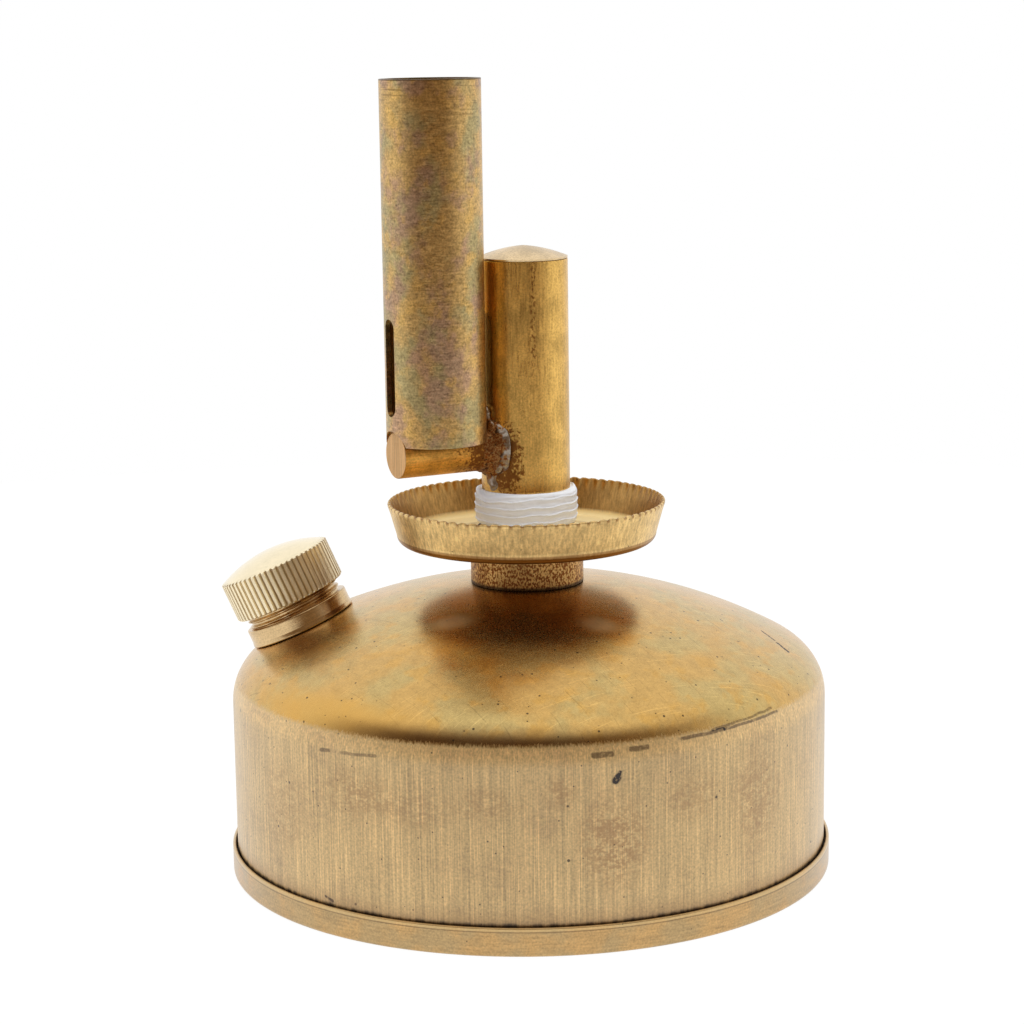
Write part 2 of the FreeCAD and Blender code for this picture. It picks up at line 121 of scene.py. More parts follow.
# Clear lacquer over the tank and its base
LACQUER = {"Coat Roughness": 0.3, "Coat IOR": 1.6}
# Places of the colour sockets on a Mix node, whose names are not unique
MIX_FIRST = 6
MIX_SECOND = 7
MIX_RESULT = 2


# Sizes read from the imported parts

def reach(node):
    """Half the width of a round node."""
    low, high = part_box(node)
    return (high.x - low.x) / 2


def foot(node):
    """Height of a node's lowest point."""
    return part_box(node)[0].z


def top(node):
    """Height of a node's highest point."""
    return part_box(node)[1].z


def joint_axis(name):
    """Direction of a joint."""
    return Vector(next(joint for joint in frame["joints"] if joint["name"] == name)["axis"])


def axis_of(node):
    """Middle of an upright node, seen from above."""
    low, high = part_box(node)
    return Vector(((low.x + high.x) / 2, (low.y + high.y) / 2, 0))


# Property helpers

def length(name, description, default):
    """Property for a length in metres."""
    return bpy.props.FloatProperty(name=name, description=description, default=default, precision=5,
                                   unit="LENGTH")


def point(name, description, *default):
    """Property for a place in metres."""
    return bpy.props.FloatVectorProperty(name=name, description=description, default=default, size=3,
                                         precision=5, subtype="TRANSLATION", unit="LENGTH")


def held(kind, name, description):
    """Property for a group of others."""
    return bpy.props.PointerProperty(type=kind, name=name, description=description)


def colour(name, description, *default):
    """Property for a colour."""
    return bpy.props.FloatVectorProperty(name=name, description=description, default=default, size=3,
                                         min=0, max=1, subtype="COLOR")


def number(name, description, default):
    """Property for a plain number."""
    return bpy.props.FloatProperty(name=name, description=description, default=default)


def angle(name, description, degrees):
    """Property for an angle, given here in degrees."""
    return bpy.props.FloatProperty(name=name, description=description, default=math.radians(degrees),
                                   subtype="ANGLE")


def count(name, description, default):
    """Property for a number of like features."""
    return bpy.props.IntProperty(name=name, description=description, default=default, min=1)


class TankSizes(bpy.types.PropertyGroup):
    """Sizes of the tank, its base and the boss on its dome."""

    radius: length("Radius", "Outside radius of the wall", reach("tank_shell"))
    foot: length("Foot", "Height of the wall's lower edge", foot("tank_shell"))
    sheet: length("Sheet", "Thickness of the tank's sheet", 0.7 * MM)
    dome_radius: length("Dome radius", "Radius of the dome's sphere", 103 * MM)
    dome_top: length("Dome top", "Height of the dome's sphere over the axis", 52.7 * MM)
    shoulder: length("Shoulder", "Radius of the round shoulder", 9.7 * MM)
    brushed_to: length("Brushed to", "Height up to which the wall is brushed", 35.6 * MM)
    waviness: length("Waviness", "How far the drawn sheet strays from a true form", 0.07 * MM)
    pan_radius: length("Pan radius", "Outside radius of the base pan", reach("base_pan"))
    pan_height: length("Pan height", "Height of the base pan's rim", top("base_pan"))
    pan_sheet: length("Pan sheet", "Thickness of the base pan's rim", 0.6 * MM)
    pan_edge: length("Pan edge", "Rounding of the base pan's lower edge", 0.7 * MM)
    boss_spigot: length("Boss spigot", "Radius of the boss's ends, in the dome and in the tray", 9 * MM)


class TraySizes(bpy.types.PropertyGroup):
    """Sizes of the preheating tray."""

    seat: length("Seat", "Height of the tray's underside", foot("preheat_tray"))
    rim: length("Rim", "Height of the tray's rim", top("preheat_tray"))
    rim_radius: length("Rim radius", "Outside radius at the rim", reach("preheat_tray"))
    foot_radius: length("Foot radius", "Outside radius over the lower corner", 23.6 * MM)
    corner: length("Corner", "Radius of the lower corner", 1.6 * MM)
    sheet: length("Sheet", "Thickness of the tray's sheet", 0.6 * MM)
    crimps: count("Crimps", "Number of dents round the rim", 80)
    crimp_depth: length("Crimp depth", "Depth of a dent at the rim", 0.34 * MM)
    crimp_height: length("Crimp height", "Height over which a dent fades", 2.3 * MM)


class FillerSizes(bpy.types.PropertyGroup):
    """Sizes of the filler neck and its cap; heights are measured outwards from the dome."""

    bore: length("Bore", "Radius of the neck's bore", 7.3 * MM)
    spigot: length("Spigot", "Radius of the neck where it goes through the dome", 8.4 * MM)
    spigot_depth: length("Spigot depth", "How far the neck reaches under the dome", 2 * MM)
    collar: length("Collar", "Radius of the plain collar", 9.8 * MM)
    collar_foot: length("Collar foot", "Radius of the collar at the dome", 10 * MM)
    collar_top: length("Collar top", "Height of the plain collar", 2.9 * MM)
    neck_top: length("Neck top", "Height of the neck's mouth", 10.6 * MM)
    pitch: length("Pitch", "Pitch of the thread", 1 * MM)
    thread_root: length("Thread root", "Radius at the root of the neck's thread", 8.45 * MM)
    thread_crest: length("Thread crest", "Radius at the crest of the neck's thread", 9 * MM)
    thread_low: length("Thread low", "Height where the neck's thread starts", 2.7 * MM)
    thread_high: length("Thread high", "Height where the neck's thread ends", 9.9 * MM)
    cap_radius: length("Cap radius", "Outside radius of the cap", 10.5 * MM)
    cap_foot: length("Cap foot", "Height of the cap's lower edge", 5.2 * MM)
    cap_edge: length("Cap edge", "Height of the edge between grip and crown", 12.5 * MM)
    cap_crown: length("Cap crown", "Height of the crown's middle", 15 * MM)
    cap_ceiling: length("Cap ceiling", "Height of the cap's inner end", 12 * MM)
    cap_bore: length("Cap bore", "Radius at the root of the cap's thread", 9.15 * MM)
    flutes: count("Flutes", "Number of flutes round the grip", 60)
    flute_depth: length("Flute depth", "Depth of a flute", 0.38 * MM)


class HeadSizes(bpy.types.PropertyGroup):
    """Sizes of the vaporiser, arm, burner tube and tape."""

    turned: angle("Turned", "Direction of the arm, seen from above", 214)
    vaporiser_radius: length("Vaporiser radius", "Outside radius of the vaporiser", 8 * MM)
    vaporiser_wall: length("Vaporiser wall", "Wall of the vaporiser", 0.8 * MM)
    vaporiser_top: length("Vaporiser top", "Height of the vaporiser's upper edge", top("vaporiser_tube"))
    vaporiser_foot: length("Vaporiser foot", "Height of the vaporiser's lower edge", foot("vaporiser_tube"))
    cone_foot: length("Cone foot", "Height of the closing cone's plug", foot("vaporiser_cap"))
    cone_top: length("Cone top", "Height of the closing cone", top("vaporiser_cap"))
    arm_height: length("Arm height", "Height of the arm's axis", 77.45 * MM)
    arm_radius: length("Arm radius", "Radius of the arm", 4.1 * MM)
    arm_start: length("Arm start", "Where the arm starts, from the vaporiser's axis", 6.5 * MM)
    arm_end: length("Arm end", "Where the arm ends, from the vaporiser's axis", 25.9 * MM)
    burner_radius: length("Burner radius", "Outside radius of the burner tube", reach("burner_tube"))
    burner_wall: length("Burner wall", "Wall of the burner tube", 0.9 * MM)
    burner_foot: length("Burner foot", "Height of the burner tube's lower edge", foot("burner_tube"))
    burner_top: length("Burner top", "Height of the burner tube's mouth", top("burner_tube"))
    slot_width: length("Slot width", "Width of the air slot", 3.4 * MM)
    slot_low: length("Slot low", "Height of the air slot's lower end", 84.4 * MM)
    slot_high: length("Slot high", "Height of the air slot's upper end", 101.6 * MM)
    notch: length("Notch", "Radius of the notch over the arm", 4.4 * MM)
    tape_low: length("Tape low", "Height of the tape's lower edge", foot("tape_core"))
    tape_high: length("Tape high", "Height of the tape's upper edge", top("tape_core"))
    tape_radius: length("Tape radius", "Outside radius of the tape", reach("seal_tape"))
    tape_loops: count("Tape loops", "Number of turns in the tape's outer layer", 4)
    wick_low: length("Wick low", "Height of the wick's lower end", foot("wick"))
    wick_top: length("Wick top", "Height of the wick's upper end", top("wick"))
    strand: length("Strand", "Radius of one strand of the wick", 1.3 * MM)
    strands: count("Strands", "Number of strands round the wick's middle one", 6)


class BrassColours(bpy.types.PropertyGroup):
    """Colours of the finishes."""

    wall: colour("Wall", "Brushed wall of the tank", 0.70, 0.50, 0.235)
    wall_shade: colour("Wall shade", "Brownish patches of the brushed wall", 0.56, 0.385, 0.19)
    dome: colour("Dome", "Satin dome", 0.70, 0.43, 0.135)
    dome_patch: colour("Dome patch", "Olive patches on the dome", 0.64, 0.455, 0.17)
    # Also the colour of the painted orange glow on the dome's left edge
    dome_edge: colour("Dome edge", "Orange patches on the dome", 0.73, 0.415, 0.10)
    stain: colour("Stain", "Red-brown stains", 0.40, 0.22, 0.085)
    # Painted dark reflection along the front of the shoulder, over darker patina
    seam: colour("Seam", "Dark band along the shoulder", 0.14, 0.065, 0.02)
    stain_dark: colour("Dark stain", "Dark brown marks", 0.11, 0.06, 0.025)
    soot: colour("Soot", "Soot and dirt in seams", 0.035, 0.022, 0.014)
    pan: colour("Pan", "Base pan", 0.47, 0.315, 0.135)
    pan_shade: colour("Pan shade", "Reddish patches of the base pan", 0.56, 0.34, 0.125)
    boss: colour("Boss", "Boss on the dome", 0.76, 0.47, 0.17)
    tray: colour("Tray", "Preheating tray", 0.82, 0.575, 0.245)
    tray_floor: colour("Tray floor", "Floor of the tray", 1.0, 0.83, 0.46)
    # Mixed with rust, this paints the dark reflection on the tray's lower corner and the shade underneath
    tray_shade: colour("Tray shade", "Corner and inner wall of the tray", 0.38, 0.19, 0.045)
    cap: colour("Cap", "Filler cap", 0.97, 0.84, 0.58)
    # Painted shade in the flutes of the cap's grip
    groove: colour("Groove", "Flutes of the filler cap", 0.32, 0.19, 0.06)
    neck: colour("Neck", "Filler neck", 0.68, 0.48, 0.25)
    burner: colour("Burner", "Burner tube", 0.62, 0.40, 0.15)
    burner_olive: colour("Burner olive", "Olive tarnish on the burner tube", 0.44, 0.365, 0.175)
    burner_pink: colour("Burner pink", "Greyish red tarnish on the burner tube", 0.47, 0.285, 0.195)
    burner_gold: colour("Burner gold", "Orange tarnish on the burner tube", 0.72, 0.445, 0.135)
    vaporiser: colour("Vaporiser", "Vaporiser", 0.80, 0.49, 0.135)
    # Painted reflection of the burner tube: an orange strip down the vaporiser's side next to the arm
    vaporiser_reflection: colour("Vaporiser glow", "Orange strip down the vaporiser", 1.0, 0.60, 0.11)
    arm: colour("Arm", "Cross arm", 0.80, 0.41, 0.085)
    cone: colour("Cone", "Cone that closes the vaporiser", 0.78, 0.58, 0.33)
    sawn: colour("Sawn", "Sawn end of the arm", 0.66, 0.41, 0.19)
    rust: colour("Rust", "Corrosion round the braze", 0.23, 0.075, 0.018)
    braze: colour("Braze", "Silver braze", 0.46, 0.42, 0.36)
    solder: colour("Solder", "Soft solder in the seams", 0.30, 0.27, 0.23)
    tape: colour("Tape", "Seal tape", 0.87, 0.89, 0.94)
    rubber: colour("Rubber", "Gasket", 0.02, 0.02, 0.02)
    cotton: colour("Cotton", "Wick", 0.72, 0.66, 0.54)


class StudioSettings(bpy.types.PropertyGroup):
    """Camera, floor and light."""

    eye: point("Eye", "Place of the camera", 49.73 * MM, -463.14 * MM, 151.67 * MM)
    lens: number("Lens", "Focal length of the camera in millimetres", 91.72)
    pan: angle("Camera pan", "Direction of the camera, turned from straight ahead", 6.45)
    tilt: angle("Camera tilt", "How far the camera looks down", 10.56)
    roll: angle("Camera roll", "How far the camera is rolled", -0.84)
    floor_radius: length("Floor radius", "Radius of the round floor", 0.45)
    paper: colour("Paper", "White paper of the floor", 0.86, 0.86, 0.86)
    glow: number("Glow", "Brightness of the floor where no shadow falls", 1.05)
    glow_share: number("Glow share", "Share of the floor that glows; the rest shows shadow", 0.9)
    fill: number("Fill", "Level of the light from all round", 0.75)
    room: colour("Room", "Dark room on the camera's side, as the brass mirrors it", 0.23, 0.15, 0.085)
    lamp_watts: number("Lamp", "Power of the overhead lamp in watts", 5.0)
    lamp_place: point("Lamp place", "Place of the overhead lamp", 0.1, -0.1, 1.0)
    lamp_size: length("Lamp size", "Width of the overhead lamp", 1.0)


class BurnerSettings(bpy.types.PropertyGroup):
    """Everything that a user may change."""

    tank: held(TankSizes, "Tank", "Sizes of the tank")
    tray: held(TraySizes, "Tray", "Sizes of the tray")
    filler: held(FillerSizes, "Filler", "Sizes of neck and cap")
    head: held(HeadSizes, "Head", "Sizes of the head")
    colours: held(BrassColours, "Colours", "Colours of the finishes")
    studio: held(StudioSettings, "Studio", "Camera, floor and light")


# Shader maths

class Link:
    """A value in a shader: operators on it add Math nodes."""

    def __init__(self, shader, socket):
        self.shader = shader
        self.socket = socket

    def math(self, operation, *values):
        """One Math node on these values."""
        return self.shader.node("ShaderNodeMath", {"operation": operation}, dict(enumerate(values)))

    def __add__(self, other):
        return self.math("ADD", self, other)

    def __radd__(self, other):
        return self.math("ADD", other, self)

    def __sub__(self, other):
        return self.math("SUBTRACT", self, other)

    def __rsub__(self, other):
        return self.math("SUBTRACT", other, self)

    def __mul__(self, other):
        return self.math("MULTIPLY", self, other)

    def __rmul__(self, other):
        return self.math("MULTIPLY", other, self)

    def __truediv__(self, other):
        return self.math("DIVIDE", self, other)

    def __pow__(self, power):
        return self.math("POWER", self, power)

    def __abs__(self):
        return self.math("ABSOLUTE", self)

    def spread(self, amount):
        """How far a cloudy value strays from its middle, times an amount."""
        return (self - 0.5) * amount

    def clamped(self):
        """The value kept between 0 and 1."""
        return self.shader.node("ShaderNodeMath", {"operation": "ADD", "use_clamp": True}, {0: self, 1: 0.0})


class Shader:
    """The node tree of a material or of the world; its coordinates may follow a piece's own frame."""

    def __init__(self, owner, frame_of_piece=None):
        self.owner = owner
        owner.use_nodes = True
        self.tree = owner.node_tree
        self.tree.nodes.clear()
        self.frame = frame_of_piece
        self.coordinates = None

    def node(self, kind, settings=None, sockets=None, output=0):
        """Add a node: its settings first, then the values or links of its sockets."""
        made = self.tree.nodes.new(kind)
        for key, value in (settings or {}).items():
            setattr(made, key, value)
        for key, value in (sockets or {}).items():
            if isinstance(value, Link):
                self.tree.links.new(value.socket, made.inputs[key])
            else:
                made.inputs[key].default_value = value
        return Link(self, made.outputs[output]) if made.outputs else None

    def place(self):
        """Coordinates on the piece, in metres, in its own frame."""
        if self.coordinates is None:
            self.coordinates = self.node("ShaderNodeTexCoord", output="Object")
            if self.frame is not None:
                self.coordinates = self.node(
                    "ShaderNodeMapping", {"vector_type": "TEXTURE"},
                    {"Vector": self.coordinates, "Location": self.frame.translation,
                     "Rotation": self.frame.to_euler()})
        return self.coordinates

    def parts(self, vector):
        """The three values of a vector."""
        return [self.node("ShaderNodeSeparateXYZ", None, {0: vector}, axis) for axis in range(3)]

    def vector(self, operation, first, second, output=0):
        """Vector maths on two vectors."""
        return self.node("ShaderNodeVectorMath", {"operation": operation}, {0: first, 1: second}, output)

    def clouds(self, size, stretch=(1, 1, 1), detail=2.0, seed=0.0, turn=0.0):
        """Cloudy value round 0.5, with patches of about this size; a large stretch makes long strokes."""
        reach_of_patch = tuple(size * share for share in stretch)
        where = self.node("ShaderNodeMapping", {"vector_type": "TEXTURE"},
                          {"Vector": self.place(), "Rotation": (0, 0, turn), "Scale": reach_of_patch})
        return self.node("ShaderNodeTexNoise", {"noise_dimensions": "4D"},
                         {"Vector": where, "W": seed, "Scale": 1.0, "Detail": detail})

    def specks(self, spacing, size, share, seed=0.0):
        """Dots of this size in a share of the cells of a loose grid."""
        where = self.node("ShaderNodeMapping", {"vector_type": "TEXTURE"},
                          {"Vector": self.place(), "Location": (seed * spacing,) * 3,
                           "Scale": (spacing,) * 3})
        sockets = {"Vector": where, "Scale": 1.0}
        distance = self.node("ShaderNodeTexVoronoi", None, sockets, "Distance")
        chance = self.parts(self.node("ShaderNodeTexVoronoi", None, sockets, "Color"))[0]
        edge = size / spacing
        soft_from = 0.6
        sudden = 0.001
        dots = 1 - self.step(distance, edge * soft_from, edge)
        return dots * self.step(chance, 1 - share, 1 + sudden - share)

    def step(self, value, low, high):
        """Smooth rise from 0 at low to 1 at high."""
        return self.node("ShaderNodeMapRange", {"interpolation_type": "SMOOTHSTEP"},
                         {"Value": value, "From Min": low, "From Max": high})

    def around(self, radius):
        """Length along a round wall of this radius, measured from +X, and the height."""
        x, y, z = self.parts(self.place())
        return y.math("ARCTAN2", y, x) * radius, z

    def mark(self, across, up, start, end, half_width):
        """Mask of a straight mark between two points of an unrolled wall."""
        run = Vector(end) - Vector(start)
        along = run / run.length_squared
        share = ((across - start[0]) * along.x + (up - start[1]) * along.y).clamped()
        aside = across - start[0] - share * run.x
        above = up - start[1] - share * run.y
        gap = (aside * aside + above * above) ** 0.5
        soft_from = 0.5
        return 1 - self.step(gap, half_width * soft_from, half_width)

    def patch(self, across, up, middle, reach_across, reach_up):
        """Soft round mask on an unrolled wall."""
        aside = (across - middle[0]) / reach_across
        above = (up - middle[1]) / reach_up
        soft_from = 0.25
        return 1 - self.step((aside * aside + above * above) ** 0.5, soft_from, 1.0)

    def stripe(self, value, middle, inner, outer):
        """1 up to the inner distance from the middle, fading to 0 at the outer one."""
        return 1 - self.step(abs(value - middle), inner, outer)

    def mix(self, factor, first, second):
        """Colour between two colours."""
        under, over = (tint if isinstance(tint, Link) else (*tint, 1) for tint in (first, second))
        return self.node("ShaderNodeMix", {"data_type": "RGBA"},
                         {0: factor, MIX_FIRST: under, MIX_SECOND: over}, MIX_RESULT)

    def layered(self, tint, *layers):
        """A colour under layers, each with its mask and colour."""
        for mask, layer in layers:
            tint = self.mix(mask, tint, layer)
        return tint

    def shade(self, tint, light):
        """A colour made lighter or darker."""
        start = tint if isinstance(tint, Link) else tuple(tint)
        return self.node("ShaderNodeVectorMath", {"operation": "SCALE"}, {0: start, "Scale": light})

    def surface(self, tint, roughness, height, depth, metallic=1.0, constants=None):
        """Finish and hand back the material: a principled surface with bump of this depth."""
        bump = self.node("ShaderNodeBump", None, {"Distance": depth, "Height": height})
        sockets = {"Base Color": tint, "Roughness": roughness, "Metallic": metallic, "Normal": bump}
        body = self.node("ShaderNodeBsdfPrincipled", None, {**sockets, **(constants or {})})
        self.node("ShaderNodeOutputMaterial", None, {"Surface": body})
        return self.owner


def finish(name, frame_of_piece=None):
    """Shader of a new material."""
    return Shader(bpy.data.materials.new(name), frame_of_piece)


# Outlines and meshes

def arc(centre, radius, start, end, steps):
    """Points of an arc in the plane of radius and height; angles are above level."""
    points = []
    for step in range(steps + 1):
        turn = start + (end - start) * step / steps
        points.append((centre[0] + radius * math.cos(turn), centre[1] + radius * math.sin(turn)))
    return points


def rounded(*corners, steps=4):
    """Closed outline from corners (radius, height, rounding)."""
    points = []
    for index, (radius, height, rounding) in enumerate(corners):
        here = Vector((radius, height))
        if rounding == 0:
            points.append(tuple(here))
            continue
        before = Vector(corners[index - 1][:2]) - here
        after = Vector(corners[(index + 1) % len(corners)][:2]) - here
        trim = rounding / math.tan(before.angle(after) / 2)
        start = here + before.normalized() * trim
        end = here + after.normalized() * trim
        for step in range(steps + 1):
            share = step / steps
            place = start * (1 - share) ** 2 + here * 2 * share * (1 - share) + end * share ** 2
            points.append(tuple(place))
    return points


def rows(start, end, spacing):
    """Points from start to end, no further apart than the spacing, without the last."""
    first = Vector(start)
    across = Vector(end) - first
    steps = max(1, math.ceil(across.length / spacing))
    return [tuple(first + across * step / steps) for step in range(steps)]


def new_piece(name, shape):
    """Object from a finished bmesh."""
    bmesh.ops.recalc_face_normals(shape, faces=shape.faces)
    mesh = bpy.data.meshes.new(name)
    shape.to_mesh(mesh)
    shape.free()
    piece = bpy.data.objects.new(name, mesh)
    bpy.context.scene.collection.objects.link(piece)
    return piece


def smooth(piece, sharp_degrees=38):
    """Smooth shading that keeps true corners and flat faces."""
    piece.data.shade_smooth()
    piece.data.set_sharp_from_angle(angle=math.radians(sharp_degrees))
    weighted = piece.modifiers.new("even_shading", "WEIGHTED_NORMAL")
    weighted.keep_sharp = True
    return piece


def turned(name, outline, segments=192, ripple=None):
    """Piece turned about its own Z from a closed outline; a ripple may move each point."""
    shape = bmesh.new()
    rings = []
    for radius, height in outline:
        if radius < ON_AXIS:
            rings.append([shape.verts.new((0, 0, height))])
            continue
        ring = []
        for segment in range(segments):
            turn = FULL_TURN * segment / segments
            far, high = ripple(radius, height, turn) if ripple else (radius, height)
            ring.append(shape.verts.new((far * math.cos(turn), far * math.sin(turn), high)))
        rings.append(ring)
    for lower, upper in zip(rings, rings[1:] + rings[:1]):
        for segment in range(segments):
            after = (segment + 1) % segments
            corners = [lower[segment % len(lower)], lower[after % len(lower)],
                       upper[after % len(upper)], upper[segment % len(upper)]]
            corners = list(dict.fromkeys(corners))
            if len(corners) > 2:
                shape.faces.new(corners)
    return new_piece(name, shape)


def swept(shape, path, radius_at, segments=20):
    """Add a round closed bar along a path to a bmesh; its radius depends on share of length and turn."""
    rings = []
    side = (path[1] - path[0]).orthogonal()
    for index, place in enumerate(path):
        ahead = path[min(index + 1, len(path) - 1)] - path[max(index - 1, 0)]
        side = side - ahead * side.dot(ahead) / ahead.length_squared
        side.normalize()
        up = ahead.normalized().cross(side)
        ring = []
        for segment in range(segments):
            turn = FULL_TURN * segment / segments
            far = radius_at(index / (len(path) - 1), turn)
            ring.append(shape.verts.new(place + (side * math.cos(turn) + up * math.sin(turn)) * far))
        rings.append(ring)
    for lower, upper in zip(rings, rings[1:]):
        for segment in range(segments):
            after = (segment + 1) % segments
            shape.faces.new((lower[segment], lower[after], upper[after], upper[segment]))
    shape.faces.new(rings[0])
    shape.faces.new(rings[-1])


def applied(piece):
    """Turn a piece's modifiers into its mesh."""
    graph = bpy.context.evaluated_depsgraph_get()
    mesh = bpy.data.meshes.new_from_object(piece.evaluated_get(graph))
    piece.modifiers.clear()
    piece.data = mesh
    return piece


def cut(piece, cutter):
    """Take a cutter's form out of a piece."""
    step = piece.modifiers.new("cut", "BOOLEAN")
    step.operation = "DIFFERENCE"
    step.solver = "EXACT"
    step.object = cutter
    bpy.context.view_layer.update()
    applied(piece)
    bpy.data.objects.remove(cutter)
    return piece


def rod(name, radius, half_length):
    """Plain round bar about its own Z, to cut with."""
    return turned(name, [(0, -half_length), (radius, -half_length), (radius, half_length), (0, half_length)],
                  segments=96)


def fit(piece, body, slot, material, *nodes):
    """Give a piece its finish, let it ride on a body and stand for its CAD nodes."""
    piece.data.materials.clear()
    piece.data.materials.append(material)
    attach(piece, body)
    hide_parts(*nodes)


def dress(material, *nodes):
    """Give CAD nodes that keep their shape a finish."""
    for node in nodes:
        mesh = frame["nodes"][node].data
        mesh.materials.clear()
        mesh.materials.append(material)


def neck_place(tank):
    """Frame whose Z runs along the neck, with the dome's skin at height 0."""
    lean = Vector((0, 0, 1)).rotation_difference(joint_axis("cap_lift")).to_matrix().to_4x4()
    dome_centre = tank.dome_top - tank.dome_radius
    return Matrix.Translation((0, 0, dome_centre)) @ lean @ Matrix.Translation((0, 0, tank.dome_radius))


def arm_place(head):
    """Frame whose Z runs out along the arm from the vaporiser's axis."""
    return (Matrix.Translation((0, 0, head.arm_height)) @ Matrix.Rotation(head.turned, 4, "Z")
            @ Matrix.Rotation(math.pi / 2, 4, "Y"))


def thread(height, turn, low, high, pitch):
    """Depth of a right-handed thread from 0 at its root to 1 at its crest."""
    root_width = 0.3
    flank_width = 0.55
    run_out = 0.4 * pitch
    phase = ((height - low) / pitch - turn / FULL_TURN) % 1
    ridge = abs(2 * phase - 1)
    flank = min(max((ridge - root_width) / flank_width, 0), 1)
    ends = min(max((height - low) / run_out, 0), max((high - height) / run_out, 0), 1)
    return flank * ends


# Finishes

def upright(times):
    """Stretch of strokes that run up and down."""
    return (1, 1, times)


def level(times):
    """Stretch of strokes that run round an upright axis."""
    return (times, times, 1)


class TankTextures:
    """Cloudy values and places that the layers of the tank's finish share."""

    def __init__(self, shader, tank):
        self.strokes = shader.clouds(0.3 * MM, upright(60))
        self.broad = shader.clouds(1.4 * MM, upright(16), seed=1)
        self.patches = shader.clouds(9 * MM, detail=4, seed=2)
        self.blotches = shader.clouds(1.3 * MM, level(1.6), detail=3, seed=3)
        self.grain = shader.clouds(0.38 * MM, seed=4)
        self.fine = shader.clouds(0.45 * MM, level(1.4), detail=3, seed=11)
        self.wander = self.blotches.spread(0.5 * MM)
        arc_length, self.height = shader.around(tank.radius)
        self.across = arc_length + self.wander
        self.up = self.height + self.wander
        self.x, self.y, _ = shader.parts(shader.place())
        border = self.height + self.strokes.spread(2 * MM)
        self.on_dome = shader.step(border, tank.brushed_to - 0.4 * MM, tank.brushed_to + 0.5 * MM)


def wall_tone(shader, tank, colours, textures):
    """Colour of the tank's brushed wall, with painted light where it turns into the shoulder."""
    lines = shader.clouds(0.22 * MM, upright(70), detail=1, seed=10)
    # Painted light: the top of the wall made lighter where it turns into the shoulder
    shoulder_painted_light = shader.step(textures.height, tank.brushed_to - 4 * MM, tank.brushed_to - 1.5 * MM)
    brown = shader.step(textures.patches, 0.44, 0.66) * shader.step(textures.blotches, 0.36, 0.62)
    light = (0.91 + textures.strokes.spread(1.0) + textures.broad.spread(0.25) + textures.grain.spread(0.9)
             + shader.step(lines, 0.52, 0.68) * 0.24 + shoulder_painted_light * 0.2)
    return shader.shade(shader.mix(brown * 0.6, colours.wall, colours.wall_shade), light)


def dome_tone(shader, tank, colours, textures):
    """Colour of the satin dome, with hair lines both ways and a painted orange glow on its left edge."""
    small_patches = shader.clouds(4 * MM, detail=4, seed=8)
    hairs = shader.clouds(0.22 * MM, HAIR, detail=1, seed=5, turn=0.6)
    cross_hairs = shader.clouds(0.22 * MM, HAIR, detail=1, seed=9, turn=-0.8)
    scratches = shader.step(hairs, 0.64, 0.7) * 0.22 - shader.step(cross_hairs, 0.65, 0.71) * 0.22
    tone = shader.layered(
        colours.dome,
        (shader.step(textures.patches, 0.43, 0.6), colours.dome_patch),
        (shader.step(small_patches, 0.5, 0.64) * 0.7, colours.dome_edge))
    tone = shader.shade(tone, 0.92 + textures.grain.spread(0.5) + textures.blotches.spread(0.45) + scratches)
    # Painted glow: an orange sheen on the dome's left edge, next to the shoulder
    painted_glow_middle = (math.radians(PAINTED_GLOW_ANGLE) * tank.radius, tank.brushed_to + 2 * MM)
    orange = shader.patch(textures.across, textures.up, painted_glow_middle, 30 * MM, 4.5 * MM)
    return shader.mix(orange * 0.8, tone, colours.dome_edge)


def stain_mask(shader, tank, textures):
    """Mask of the broken brown stains on the tank's wall."""
    stains = 0
    for degrees, middle, wide, high, dark in TANK_STAINS:
        place = (math.radians(degrees) * tank.radius, middle * MM)
        stains = shader.patch(textures.across, textures.up, place, wide * MM, high * MM) * dark + stains
    return (stains * shader.step(textures.blotches * 0.4 + textures.fine * 0.6, 0.42, 0.57)).clamped()


def mark_mask(shader, tank, textures):
    """Mask of the dark marks on the tank's wall and of the scratches on the dome."""
    marks = 0
    for first, first_height, last, last_height, half_width, dark in TANK_MARKS:
        start = (math.radians(first) * tank.radius, first_height * MM)
        end = (math.radians(last) * tank.radius, last_height * MM)
        marks = shader.mark(textures.across, textures.up, start, end, half_width * MM) * dark + marks
    for start_x, start_y, end_x, end_y, half_width in DOME_MARKS:
        start = (start_x * MM, start_y * MM)
        end = (end_x * MM, end_y * MM)
        aside = textures.x + textures.wander
        along = textures.y + textures.wander
        marks = shader.mark(aside, along, start, end, half_width * MM) * textures.on_dome + marks
    return (marks * (0.6 + 0.4 * shader.step(textures.fine, 0.4, 0.5))).clamped()


